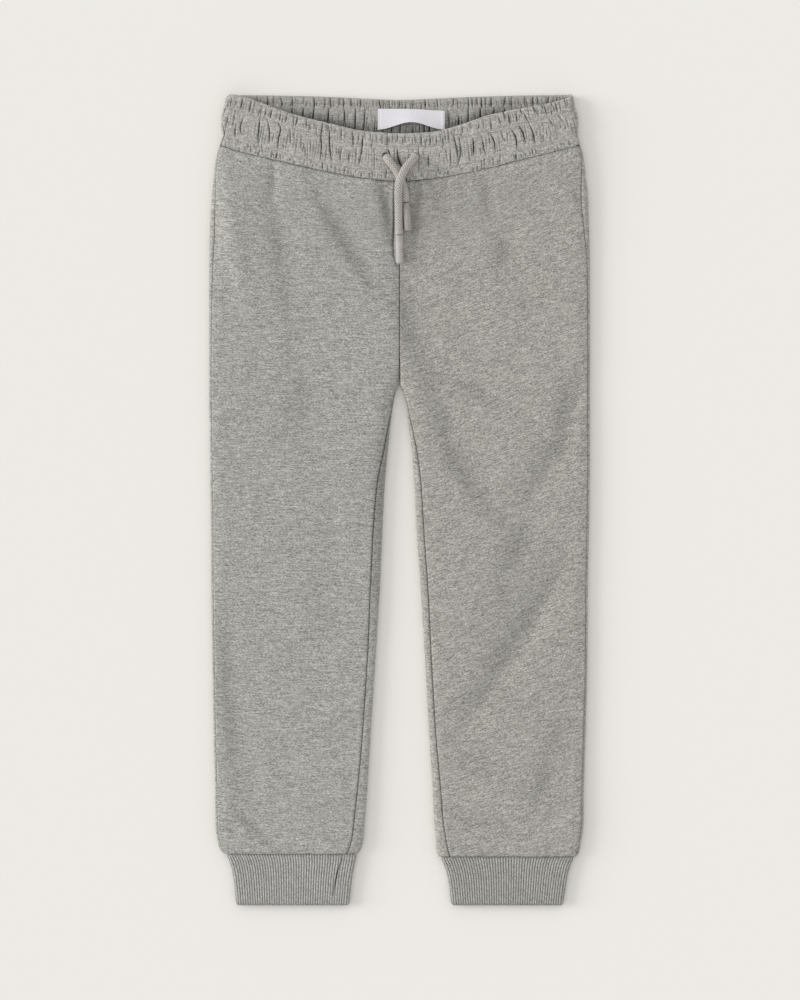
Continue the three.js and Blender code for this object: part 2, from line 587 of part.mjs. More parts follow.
function cordTube(points, radius) {
  const path = new THREE.CatmullRomCurve3(points, false, 'centripetal');
  const section = new THREE.Shape();
  for (let i = 0; i < CORD_SIDES; i += 1) {
    const angle = (2 * Math.PI * i) / CORD_SIDES;
    const corner = [radius * Math.cos(angle), radius * Math.sin(angle)];
    if (i === 0) section.moveTo(...corner);
    else section.lineTo(...corner);
  }
  section.closePath();
  const geometry = new THREE.ExtrudeGeometry(section, {
    steps: points.length - 1,
    bevelEnabled: false,
    extrudePath: path,
  });
  return cleaned(geometry);
}

function cleaned(geometry) {
  geometry.deleteAttribute('normal');
  geometry.deleteAttribute('uv');
  const merged = mergeVertices(geometry, 1e-3);
  merged.computeVertexNormals();
  return merged;
}

// A smooth tip with rounded ends, from its start to its end on the front.
function tip({ start, end }, lift) {
  const radius = TIP_DIAMETER / 2;
  const low = (place) => topFace(place[0], place[1]) + radius + CORD_CLEARANCE + lift;
  const from = new THREE.Vector3(...start, low(start));
  const to = new THREE.Vector3(...end, low(end));
  const length = from.distanceTo(to);
  const round = 0.9;
  const shoulder = radius - 0.3 * round;
  const profile = [
    [0, 0], [radius - round, 0], [shoulder, 0.3 * round], [radius, round],
    [radius, length - round], [shoulder, length - 0.3 * round], [radius - round, length], [0, length],
  ];
  const geometry = new THREE.LatheGeometry(profile.map(([r, y]) => new THREE.Vector2(r, y)), 14);
  const direction = to.clone().sub(from).normalize();
  geometry.applyQuaternion(new THREE.Quaternion().setFromUnitVectors(new THREE.Vector3(0, 1, 0), direction));
  geometry.translate(from.x, from.y, from.z);
  return cleaned(geometry);
}

// The label: a short strip held at both ends, whose middle bows up off the gathered band.
function label() {
  const { left, right, top, bottom, bow, lift, steps } = LABEL;
  const base = BAND_WALL + SEAM_GAP;
  const downs = [0, 1, 2, 3];
  const across = [left, ...stops(left, right, steps)];
  const face = (level) => downs.map((down) => across.map((x) => {
    const arch = Math.sin((Math.PI * (x - left)) / (right - left)) ** 2;
    const share = down / (downs.length - 1);
    const y = mix(top, bottom + bow * arch, share);
    return [x, y, base + level + lift * arch * (0.35 + 0.65 * share)];
  }));
  return closedWall({ rows: face(LABEL_WALL), downs }, { rows: face(0), downs }, false);
}

const wasm = await Module();
wasm.setup();

function toManifold(geometry) {
  const vertProperties = Float32Array.from(geometry.attributes.position.array);
  const triVerts = Uint32Array.from(geometry.index.array);
  return new wasm.Manifold(new wasm.Mesh({ numProp: 3, vertProperties, triVerts }));
}

function fromManifold(solid) {
  const mesh = solid.getMesh();
  const geometry = new THREE.BufferGeometry();
  geometry.setAttribute('position', new THREE.BufferAttribute(mesh.vertProperties, 3));
  geometry.setIndex(new THREE.BufferAttribute(mesh.triVerts, 1));
  const merged = mergeVertices(geometry, 1e-3);
  merged.computeVertexNormals();
  return merged;
}

const longRoute = cordRoute(LONG_CORD);
const shortRoute = cordRoute(SHORT_CORD);

// The two buttonholes: where a cord comes out of the band's tunnel, the band is cut clear of it.
function bandWithHoles() {
  const wide = CORD_DIAMETER / 2 + 1.4 * CORD_CLEARANCE;
  const holes = [longRoute, shortRoute].map((route) => {
    const back = route[0].clone().sub(route[1]).setZ(0).setLength(HOLE_BEHIND);
    const reach = route.filter((point) => point.distanceTo(route[0]) < HOLE_REACH);
    return toManifold(cordTube([back.add(route[0]), ...reach], wide));
  });
  return fromManifold(holes.reduce((band, hole) => band.subtract(hole), toManifold(bandHalf(true))));
}

const fleece = new THREE.MeshStandardMaterial({ color: 0xa1a09a, roughness: 0.95, metalness: 0 });
const bandFleece = new THREE.MeshStandardMaterial({ color: 0x9d9b96, roughness: 0.95, metalness: 0 });
const ribKnit = new THREE.MeshStandardMaterial({ color: 0x999791, roughness: 0.95, metalness: 0 });
const cordCotton = new THREE.MeshStandardMaterial({ color: 0xa59f9a, roughness: 0.9, metalness: 0 });
const tipPlastic = new THREE.MeshStandardMaterial({ color: 0xafa9a7, roughness: 0.5, metalness: 0 });
const labelSatin = new THREE.MeshStandardMaterial({ color: 0xe9e6e8, roughness: 0.6, metalness: 0 });

const group = new THREE.Group();
function add(name, geometry, material) {
  const mesh = new THREE.Mesh(geometry, material);
  mesh.name = name;
  group.add(mesh);
}

add('front_left', legPanel('left', true), fleece);
add('front_right', legPanel('right', true), fleece);
add('back_left', legPanel('left', false), fleece);
add('back_right', legPanel('right', false), fleece);
add('waistband_front', bandWithHoles(), bandFleece);
add('waistband_back', bandHalf(false), bandFleece);
add('cuff_left', cuff('left'), ribKnit);
add('cuff_right', cuff('right'), ribKnit);
add('cord_long', cordTube(longRoute, CORD_DIAMETER / 2), cordCotton);
add('cord_short', cordTube(shortRoute, CORD_DIAMETER / 2), cordCotton);
add('tip_long', tip(LONG_TIP, 0), tipPlastic);
add('tip_short', tip(SHORT_TIP, 0), tipPlastic);
add('label', label(), labelSatin);

export default group;
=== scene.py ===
import bpy
import numpy as np
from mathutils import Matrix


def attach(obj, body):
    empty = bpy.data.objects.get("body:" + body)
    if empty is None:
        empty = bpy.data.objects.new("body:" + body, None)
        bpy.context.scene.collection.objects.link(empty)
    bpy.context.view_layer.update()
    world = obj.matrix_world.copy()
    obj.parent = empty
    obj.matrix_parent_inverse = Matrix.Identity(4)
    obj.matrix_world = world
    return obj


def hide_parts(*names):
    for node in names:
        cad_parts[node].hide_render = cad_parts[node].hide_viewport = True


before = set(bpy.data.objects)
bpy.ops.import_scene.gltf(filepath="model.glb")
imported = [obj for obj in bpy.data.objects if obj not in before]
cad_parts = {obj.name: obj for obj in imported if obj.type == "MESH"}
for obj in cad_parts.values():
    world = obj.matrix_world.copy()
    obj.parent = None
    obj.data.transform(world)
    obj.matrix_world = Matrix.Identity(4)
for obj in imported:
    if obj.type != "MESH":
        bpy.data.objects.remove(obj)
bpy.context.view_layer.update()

# The camera looks straight down at the joggers, with the waist at the top of the picture. Sizes are in
# millimetres in the tables below, and in metres in Blender.
MM = 0.001
bpy.ops.object.camera_add(location=(0.37 * MM, -0.18 * MM, 2.0598), rotation=(0, 0, 0))
camera = bpy.context.object
camera.data.lens = 100
camera.data.sensor_fit = "VERTICAL"
camera.data.sensor_height = 36
bpy.context.scene.camera = camera

# The table: a plain pale board, a hair below the garment's flat underside. An even room lights it, and one
# wide soft light from the left, which leaves a faint wide shadow on the right of each leg.
TABLE_GAP = 0.2
bpy.context.scene.view_settings.view_transform = "Standard"
bpy.ops.object.select_all(action="DESELECT")
bpy.ops.mesh.primitive_plane_add(size=6, location=(0, 0, -TABLE_GAP * MM))
table = bpy.context.object
table.name = "table"
bpy.ops.object.transform_apply(location=True, rotation=True, scale=True)
board = bpy.data.materials.new("table_board")
board.use_nodes = True
board_skin = board.node_tree.nodes["Principled BSDF"]
board_skin.inputs["Base Color"].default_value = (0.862, 0.838, 0.798, 1)
board_skin.inputs["Roughness"].default_value = 0.9
board_skin.inputs["Specular IOR Level"].default_value = 0.1
table.data.materials.append(board)

room = bpy.data.worlds.new("room")
bpy.context.scene.world = room
room.use_nodes = True
room.node_tree.nodes["Background"].inputs["Color"].default_value = (1, 1, 1, 1)
room.node_tree.nodes["Background"].inputs["Strength"].default_value = 0.79
bpy.ops.object.light_add(type="SUN", location=(-1, 0, 0.6), rotation=(np.radians(-8), np.radians(-70), 0))
window_light = bpy.context.object
window_light.data.energy = 1.8
window_light.data.angle = np.radians(30)

# The drawcord: one round plaited cotton cord in the waistband's tunnel. Its two free ends come out of
# two buttonholes and hang down the front, the long end over the short one.
CORD_ACROSS = 5.8
# how many strands wind each way, and their turn in each millimetre. The most that painted shade dims a colour
CORD_STRANDS = 8
STRAND_TURN = 2.9
DEEPEST_PAINTED_SHADE = 0.85
# x, y, z of the cord's middle, from its buttonhole down
LONG_CORD = [
    (11.8, 253.4, 13.2), (9.4, 249.9, 16.0), (6.4, 246.4, 18.3), (4.1, 243.0, 20.6), (2.4, 239.6, 22.1),
    (0.8, 236.0, 22.6), (-0.4, 231.6, 22.2), (-0.8, 226.6, 20.0), (-0.8, 221.0, 17.3), (-0.7, 215.0, 14.7),
    (-0.6, 209.0, 13.0), (-0.5, 202.5, 11.8), (-0.4, 195.8, 11.1),
]
SHORT_CORD = [
    (-9.9, 252.7, 13.2), (-7.7, 249.2, 15.9), (-5.2, 246.0, 15.9), (-2.7, 242.7, 15.9), (-0.6, 239.0, 15.9),
    (1.4, 234.6, 15.9), (3.0, 229.8, 15.3), (4.0, 224.8, 14.4), (4.5, 219.8, 13.5),
]


def soft(distance, width):
    """A soft bump: 1 at no distance, and fading to nothing past its width."""
    return np.exp(-((distance / width) ** 2))


def smooth(t):
    """A smooth step, from 0 at 0 to 1 at 1."""
    t = np.clip(t, 0, 1)
    return t * t * (3 - 2 * t)


def stacked(*values):
    """Places or cuts from grids of their parts."""
    return np.stack(np.broadcast_arrays(*values), axis=-1)


def between_points(t, span, start, end, leaving, arriving):
    """A curve's place at t, from 0 to 1, between two points that are span apart, by its slopes at both."""
    ends = start * (1 + 2 * t) * (1 - t) ** 2 + end * t * t * (3 - 2 * t)
    return ends + span * (leaving * t * (1 - t) ** 2 - arriving * t * t * (1 - t))


def through(places, values, at):
    """A smooth curve through values at places, which never swings past them, read at any place."""
    p, v = np.array(places, float), np.array(values, float)
    if p[0] > p[-1]:
        p, v = p[::-1], v[::-1]
    rise = np.diff(v) / np.diff(p)
    slope = np.zeros_like(v)
    slope[0], slope[-1] = rise[0], rise[-1]
    before, after = rise[:-1], rise[1:]
    alike = before * after > 0
    slope[1:-1][alike] = 2 * before[alike] * after[alike] / (before + after)[alike]
    at = np.clip(at, p[0], p[-1])
    i = np.clip(np.searchsorted(p, at) - 1, 0, len(p) - 2)
    span = p[i + 1] - p[i]
    return between_points((at - p[i]) / span, span, v[i], v[i + 1], slope[i], slope[i + 1])


def bent_line(points, count):
    """Evenly spaced points on a smooth line through a few, with the length up to each."""
    points = np.array(points, float)
    steps = np.concatenate([[0], np.cumsum(np.linalg.norm(np.diff(points, axis=0), axis=1))])
    slope = np.gradient(points, steps, axis=0)
    fine = np.linspace(0, steps[-1], 600)
    i = np.clip(np.searchsorted(steps, fine) - 1, 0, len(points) - 2)
    span = (steps[i + 1] - steps[i])[:, None]
    t = (fine - steps[i])[:, None] / span
    line = between_points(t, span, points[i], points[i + 1], slope[i], slope[i + 1])
    run = np.concatenate([[0], np.cumsum(np.linalg.norm(np.diff(line, axis=0), axis=1))])
    even = np.linspace(0, run[-1], count)
    return np.stack([np.interp(even, run, line[:, k]) for k in range(line.shape[1])], axis=1), even


def laid_grid(name, points, cut, ring=False, facing_down=False, painted_shade=None):
    """A new grid whose points are laid at rows and columns of places, with its cut as its UV map.

    painted_shade is painted shade that darkens each point's finish: in creases, seams, between ribs and where
    shadows fall. Below 0 it is a little painted light.
    """
    rows, columns = points.shape[:2]
    bpy.ops.object.select_all(action="DESELECT")
    bpy.ops.mesh.primitive_grid_add(x_subdivisions=columns - 1, y_subdivisions=rows - 1, size=1)
    piece = bpy.context.object
    piece.name = piece.data.name = name
    mesh = piece.data
    at = np.empty(len(mesh.vertices) * 3)
    mesh.vertices.foreach_get("co", at)
    at = at.reshape(-1, 3)
    column = np.rint((at[:, 0] + 0.5) * (columns - 1)).astype(int)
    row = np.rint((at[:, 1] + 0.5) * (rows - 1)).astype(int)
    mesh.vertices.foreach_set("co", (points[row, column] * MM).ravel())
    corner = np.empty(len(mesh.loops), int)
    mesh.loops.foreach_get("vertex_index", corner)
    mesh.uv_layers.active.data.foreach_set("uv", (cut[row, column][corner] * MM).ravel())
    mesh.uv_layers.active.name = "cut"
    if painted_shade is not None:
        shade_mask = mesh.attributes.new("painted_shade", "FLOAT", "POINT")
        shade_mask.data.foreach_set("value", painted_shade[row, column])
    mesh.update()
    bpy.ops.object.mode_set(mode="EDIT")
    bpy.ops.mesh.select_all(action="SELECT")
    if facing_down:
        bpy.ops.mesh.flip_normals()
    if ring:
        bpy.ops.mesh.remove_doubles(threshold=0.00001)
    bpy.ops.object.mode_set(mode="OBJECT")
    bpy.ops.object.shade_smooth()
    return piece


def pick(piece):
    """Selects one piece alone."""
    bpy.ops.object.select_all(action="DESELECT")
    piece.select_set(True)
    bpy.context.view_layer.objects.active = piece


def close_ends(piece):
    """Closes a tube's open ends, and turns it the right way out."""
    pick(piece)
    bpy.ops.object.mode_set(mode="EDIT")
    bpy.ops.mesh.select_all(action="DESELECT")
    bpy.ops.mesh.select_mode(type="EDGE")
    bpy.ops.mesh.select_non_manifold(extend=False, use_wire=False, use_boundary=True, use_multi_face=False,
                                     use_non_contiguous=False, use_verts=False)
    bpy.ops.mesh.edge_face_add()
    bpy.ops.mesh.select_all(action="SELECT")
    bpy.ops.mesh.normals_make_consistent(inside=False)
    bpy.ops.object.mode_set(mode="OBJECT")
    bpy.ops.object.shade_smooth_by_angle(angle=np.radians(50))


def round_rod(name, line, run, radius, ring_count, painted_shade=None):
    """A rod round a line. radius gives its radius for each place along and round it."""
    ahead = np.gradient(line, axis=0)
    ahead /= np.linalg.norm(ahead, axis=1)[:, None]
    across = np.cross(ahead, [0, 0, 1.0])
    across /= np.linalg.norm(across, axis=1)[:, None]
    over = np.cross(across, ahead)
    turn = np.linspace(0, 2 * np.pi, ring_count + 1)
    r = radius(run[:, None], turn[None, :])[..., None]
    out = across[:, None] * np.cos(turn)[None, :, None] + over[:, None] * np.sin(turn)[None, :, None]
    cut = stacked(turn[None, :] * CORD_ACROSS / 2, run[:, None])
    # painted shade between the cord's strands, when it is given
    between = painted_shade(run[:, None], turn[None, :]) if painted_shade else None
    rod = laid_grid(name, line[:, None] + r * out, cut, ring=True, painted_shade=between)
    close_ends(rod)
    return rod


def plait(run, turn):
    """A plaited cord's strands, which cross each other: 1 on a strand's middle, under 0 between them."""
    one = np.sin(CORD_STRANDS * turn + run * STRAND_TURN)
    other = np.sin(CORD_STRANDS * turn - run * STRAND_TURN)
    return np.maximum(one, other) + 0.35 * np.minimum(one, other)


def plaited(run, turn):
    """The radius of the cord, with its strands standing up."""
    return CORD_ACROSS / 2 * (0.94 + 0.055 * plait(run, turn) + 0.004 * np.sin(run * 0.7))


def strand_shade(run, turn):
    """Painted shade between the cord's strands: how far the cord lies between them."""
    return np.clip(0.3 - 0.42 * plait(run, turn), 0, 1)


def new_group(name, inputs, outputs):
    """A shader node group with its sockets, and its two end nodes. Each material sets all its inputs."""
    group = bpy.data.node_groups.new(name, "ShaderNodeTree")
    for way, sockets in (("INPUT", inputs), ("OUTPUT", outputs)):
        for label, kind in sockets.items():
            group.interface.new_socket(label, in_out=way, socket_type="NodeSocket" + kind)
    return group, group.nodes.new("NodeGroupInput"), group.nodes.new("NodeGroupOutput")


def node(tree, kind, links=None, **settings):
    """A node with its settings, and its inputs as numbers, colours or other nodes' sockets."""
    made = tree.nodes.new(kind)
    for label, value in settings.items():
        setattr(made, label, value)
    for label, value in (links or {}).items():
        socket = made.inputs[label]
        if isinstance(value, bpy.types.NodeSocket):
            tree.links.new(value, socket)
        else:
            socket.default_value = value
    return made


def blend(tree, factor, first, second):
    """A colour between two others, which are colours or other nodes' sockets."""
    return node(tree, "ShaderNodeMix", {0: factor, 6: first, 7: second}, data_type="RGBA").outputs[2]


def shade(red, green, blue):
    """A colour from its 0 to 255 screen values, all of them over 10."""
    return (*(round(((v / 255 + 0.055) / 1.055) ** 2.4, 5) for v in (red, green, blue)), 1)


def new_finish(name, roughness, sheen):
    """A material with its plain values set on the shader itself."""
    finish = bpy.data.materials.new(name)
    finish.use_nodes = True
    skin = finish.node_tree.nodes["Principled BSDF"]
    skin.inputs["Roughness"].default_value = roughness
    skin.inputs["Specular IOR Level"].default_value = 0.25
    skin.inputs["Sheen Weight"].default_value = sheen
    skin.inputs["Sheen Roughness"].default_value = 0.5
    return finish, finish.node_tree, skin


# Mixed light and dark fibre, as in grey melange yarn, on a piece's cut in metres: long streaks, short specks
# and wide soft patches. Painted shade dims its colour in hollows, and a little painted light brightens
# ridges.
STREAK_SHARE, SPECK_SHARE, PATCH_SHARE = 0.34, 0.64, 0.02
melange, given, result = new_group(
    "melange fibre",
    {"Cut": "Vector", "Dark": "Color", "Middle": "Color", "Light": "Color", "Streak length": "Float",
     "Streak width": "Float", "Contrast": "Float", "Painted shade": "Float"},
    {"Color": "Color", "Height": "Float"},
)
parts = node(melange, "ShaderNodeSeparateXYZ", {"Vector": given.outputs["Cut"]})


def sums(operation, *values):
    """The outcome of one sum in the melange group."""
    return node(melange, "ShaderNodeMath", dict(enumerate(values)), operation=operation).outputs[0]


def per_length(value, length, factor):
    """value over length, in the melange group, where a length is in millimetres."""
    return sums("DIVIDE", value, sums("MULTIPLY", length, MM * factor))


def streaks(length_factor, width_factor, detail, lift):
    """Noise stretched across the cut, with lift to tell one kind from another."""
    place = node(melange, "ShaderNodeCombineXYZ", {
        "X": per_length(parts.outputs["X"], given.outputs["Streak length"], length_factor),
        "Y": per_length(parts.outputs["Y"], given.outputs["Streak width"], width_factor),
        "Z": lift,
    })
    return node(melange, "ShaderNodeTexNoise", {
        "Vector": place.outputs[0], "Scale": 1.0, "Detail": detail, "Roughness": 0.6, "Distortion": 0.15,
    }, noise_dimensions="3D").outputs["Fac"]


streak = streaks(1.0, 1.0, 2.0, 1.7)
speck = streaks(0.19, 0.54, 1.0, 6.3)
patch = streaks(2.6, 9.0, 2.0, 11.1)


def part_way(value, first, last):
    """How far a value lies from first to last, in the melange group."""
    ends = {"Value": value, "From Min": first, "From Max": last}
    return node(melange, "ShaderNodeMapRange", ends).outputs[0]


mixed = sums("MULTIPLY", streak, STREAK_SHARE)
mixed = sums("MULTIPLY_ADD", speck, SPECK_SHARE, mixed)
mixed = sums("MULTIPLY_ADD", patch, PATCH_SHARE, mixed)
strong = sums("MULTIPLY_ADD", sums("SUBTRACT", mixed, 0.5), given.outputs["Contrast"], 0.5)
shadowed = blend(melange, part_way(strong, 0.26, 0.5), given.outputs["Dark"], given.outputs["Middle"])
brightened = blend(melange, part_way(strong, 0.5, 0.74), shadowed, given.outputs["Light"])
# painted shade: the colour is scaled by one less the painted shade, so below 0 it is a little painted light
unshaded_share = sums("SUBTRACT", 1.0, given.outputs["Painted shade"])
shaded_colour = node(melange, "ShaderNodeVectorMath", {0: brightened, "Scale": unshaded_share}, operation="SCALE")
melange.links.new(shaded_colour.outputs[0], result.inputs["Color"])
melange.links.new(mixed, result.inputs["Height"])


def surfaced(tree, skin, made, strength, distance):
    """Gives a finish's shader the colour of a group, and a bump of the group's height."""
    tree.links.new(made.outputs["Color"], skin.inputs["Base Color"])
    bump = node(tree, "ShaderNodeBump", {
        "Height": made.outputs["Height"], "Strength": strength, "Distance": distance * MM})
    tree.links.new(bump.outputs["Normal"], skin.inputs["Normal"])


def melange_finish(name, dark, middle, light, length, width, contrast=1.6, bump=0.3):
    """A finish of melange fibre on a piece's own cut, dimmed by its painted shade, with a fine bump along its
    streaks.
    """
    finish, tree, skin = new_finish(name, 0.95, 0.08)
    cut = node(tree, "ShaderNodeUVMap", uv_map="cut").outputs["UV"]
    shade_mask = node(tree, "ShaderNodeAttribute", attribute_name="painted_shade").outputs["Fac"]
    fibre = tree.nodes.new("ShaderNodeGroup")
    fibre.node_tree = melange
    for label, value in (("Cut", cut), ("Painted shade", shade_mask)):
        tree.links.new(value, fibre.inputs[label])
    for label, value in (("Dark", shade(*dark)), ("Middle", shade(*middle)), ("Light", shade(*light)),
                         ("Streak length", length), ("Streak width", width), ("Contrast", contrast)):
        fibre.inputs[label].default_value = value
    surfaced(tree, skin, fibre, 0.5, bump)
    return finish


cord_finish = melange_finish("plaited_cotton", (157, 151, 145), (198, 192, 186), (223, 218, 212), 1.6, 0.5,
                             contrast=1.4, bump=0.25)
long_line, long_run = bent_line(LONG_CORD, 230)
short_line, short_run = bent_line(SHORT_CORD, 140)
cord_long = round_rod("drawcord_long_end", long_line, long_run, plaited, 48, strand_shade)
cord_short = round_rod("drawcord_short_end", short_line, short_run, plaited, 48, strand_shade)

# The tips: two smooth moulded sleeves with rounded ends, pressed over the cord's ends so that they
# can't fray. Each has a shallow waist where it grips the cord.
TIP_ACROSS = 5.7
LONG_TIP = [(-0.4, 195.5, 11.0), (0.1, 174.0, 9.9)]
SHORT_TIP = [(4.55, 219.4, 13.2), (6.5, 198.0, 10.9)]
# Soft clouds between two colours, for a finish that is almost plain.
clouded, given, result = new_group(
    "clouded colour",
    {"Place": "Vector", "Scale": "Float", "Detail": "Float", "Dark": "Color", "Light": "Color"},
    {"Color": "Color", "Height": "Float"},
)
cloud = node(clouded, "ShaderNodeTexNoise", {
    "Vector": given.outputs["Place"], "Scale": given.outputs["Scale"], "Detail": given.outputs["Detail"],
}).outputs["Fac"]
paler = node(clouded, "ShaderNodeMapRange", {"Value": cloud, "From Min": 0.3, "From Max": 0.7}).outputs[0]
colour = blend(clouded, paler, given.outputs["Dark"], given.outputs["Light"])
clouded.links.new(colour, result.inputs["Color"])
clouded.links.new(cloud, result.inputs["Height"])


def clouded_finish(name, roughness, sheen, shine, dark, light, scale, detail):
    """A finish of soft clouds. Its place and its bump are still to be linked."""
    finish, tree, skin = new_finish(name, roughness, sheen)
    skin.inputs["Specular IOR Level"].default_value = shine
    clouds = tree.nodes.new("ShaderNodeGroup")
    clouds.node_tree = clouded
    for label, value in (("Scale", scale), ("Detail", detail), ("Dark", shade(*dark)),
                         ("Light", shade(*light))):
        clouds.inputs[label].default_value = value
    return finish, tree, skin, clouds


def moulded(length):
    """The radius of a tip along it, with rounded ends."""
    def radius(run, turn):
        start = np.clip(run / 1.1, 0, 1)
        end = np.clip((length - run) / 1.6, 0, 1)
        rounding = np.sqrt(1 - (1 - start) ** 2) * np.sqrt(1 - (1 - end) ** 2)
        grip = 0.05 * soft(run - 3.2, 0.7)
        return TIP_ACROSS / 2 * (np.maximum(0.08, rounding) - grip) + 0 * turn
    return radius


def cord_tip(name, ends, dark, light):
    """One of the two tips, in the colours given."""
    line, run = bent_line(ends, 60)
    tip = round_rod(name, line, run, moulded(run[-1]), 32)
    finish, tree, skin, clouds = clouded_finish(name + "_smooth", 0.45, 0.0, 0.4, dark, light, 260.0, 2.0)
    tree.links.new(node(tree, "ShaderNodeTexCoord").outputs["Object"], clouds.inputs["Place"])
    surfaced(tree, skin, clouds, 0.15, 0.1)
    tip.data.materials.append(finish)
    return tip


tip_long = cord_tip("tip_long_sleeve", LONG_TIP, (168, 161, 160), (184, 178, 177))
# the short tip's colours are darker than the long tip's: painted shade from the long end of the cord beside
# it
tip_short = cord_tip("tip_short_sleeve", SHORT_TIP, (150, 143, 139), (166, 159, 155))
for cord, line, run, tip in ((cord_long, long_line, long_run, tip_long),
                             (cord_short, short_line, short_run, tip_short)):
    cord.data.materials.append(cord_finish)

# The front legs: two panels of brushed sweatshirt fleece, sewn to each other down the middle seam,
# gathered into the waistband and the cuffs, and sewn to the backs at the side and inside leg seams.
CLOTH = 1.6
# half of the gap at a seam, how high the waist seam ends at the sides and how far down its dip is eased out,
# and where the leg folds start and how far up they flatten out
HALF_GAP = 0.15
WAIST_SIDE = 262
WAIST_EASE = 85
CROTCH = 86.3
CROTCH_RISE = 26
# the grain's tilt in degrees, and the columns and rows of a front's and a back's grid
GRAIN = {"left": -2, "right": 17}
FRONT_GRID = (130, 306)
BACK_GRID = (92, 200)
# how strongly painted shade dims the colour in the seams, and for each millimetre of a fold's depth
SIDE_SHADE, INSEAM_SHADE, WAIST_SHADE, CUFF_SHADE, FOLD_SHADE = 0.08, 0.36, 0.26, 0.13, 0.052
# y, side edge, inside edge, how far the inseam and the side seam lie over their folds, height
LEG = {
    "left": np.array([
        (262, -133.3, 0, 0, 3.0, 8.6), (253, -135.8, 0, 0, 3.0, 8.2), (240, -137.4, 0, 0, 3.4, 7.7),
        (222, -139.3, 0, 0, 5.0, 7.1), (200, -140.3, 0, 0, 5.6, 6.7), (172, -140.9, 0, 0, 4.6, 6.4),
        (140, -140.9, 0, 0, 3.6, 6.2), (112, -140.9, 0, 0, 3, 6), (98, -140.9, 0, 0, 3, 6),
        (86.3, -140.9, 0, 0.2, 3, 6), (81, -140.9, -2.2, 0.4, 3, 6),
        (70, -140.9, -4.6, 1.0, 3, 6), (56, -140.5, -6.6, 2.8, 3, 6),
        (38, -140.3, -8.4, 4.6, 3, 6), (12, -140.1, -10.8, 7.4, 3, 6),
        (-22, -139.6, -12.6, 8.6, 3, 6), (-66, -139.4, -14.5, 8.8, 3, 6),
        (-118, -138.6, -17.8, 7.6, 3, 6), (-170, -137.7, -21.1, 7.8, 3.0, 6.2),
        (-216, -136.5, -23.9, 9.2, 3.0, 6.6), (-240, -136.3, -25.8, 10.0, 3.2, 6.9),
        (-251, -135.0, -26.6, 10.6, 3.4, 6.9), (-258, -133.4, -28.2, 11.0, 3.2, 6.4),
        (-262, -130.8, -30.0, 11.0, 3.0, 5.8),
    ]),
    "right": np.array([
        (262, 134.2, 0, 0, 3.0, 8.6), (253, 136.4, 0, 0, 3.4, 8.2), (240, 137.8, 0, 0, 5.6, 7.7),
        (222, 139.7, 0, 0, 7.4, 7.1), (200, 140.3, 0, 0, 5.8, 6.7), (172, 140.9, 0, 0, 3.8, 6.4),
        (140, 140.9, 0, 0, 3.2, 6.2), (112, 140.9, 0, 0, 3, 6), (98, 140.9, 0, 0, 3, 6),
        (86.3, 140.9, 0, 0.2, 3, 6), (81, 140.9, 2.3, 0.4, 3, 6), (70, 140.9, 5.0, 1.6, 3, 6),
        (56, 140.9, 6.7, 3.6, 3, 6), (38, 140.9, 9.0, 5.2, 3, 6), (12, 140.8, 11.0, 6.6, 3, 6),
        (-22, 140.3, 12.7, 7.0, 3, 6), (-66, 139.4, 15.7, 7.1, 3, 6),
        (-118, 139.1, 18.9, 6.4, 3, 6), (-170, 137.8, 21.7, 6.7, 3.0, 6.2),
        (-216, 136.5, 24.6, 7.9, 3.0, 6.6), (-240, 136.2, 25.7, 8.8, 3.2, 6.9),
        (-251, 134.9, 26.9, 9.4, 3.4, 6.9), (-259, 133.6, 27.3, 10.4, 3.2, 6.4),
        (-264, 131.8, 28.3, 10.6, 3.0, 5.8),
    ]),
}
# x, top of the back band, top of the front band, waist seam of the front
BAND = np.array([
    (-134, 300, 300, 262), (-122, 300, 299.4, 258.2), (-108, 299.8, 295.4, 254.4), (-91, 299.5, 288.9, 250.4),
    (-70, 299.1, 282.4, 245.6), (-48, 298.4, 277.0, 240.9), (-25, 297.2, 272.0, 236.9),
    (0, 296.3, 270.4, 234.9), (22, 297.1, 271.2, 236.4), (44, 298.1, 276.6, 239.9), (66, 298.9, 284.0, 244.6),
    (89, 299.5, 288.9, 250.6), (108, 299.8, 292.4, 255.2), (122, 300, 296.2, 259.2), (134, 300, 300, 262),
])
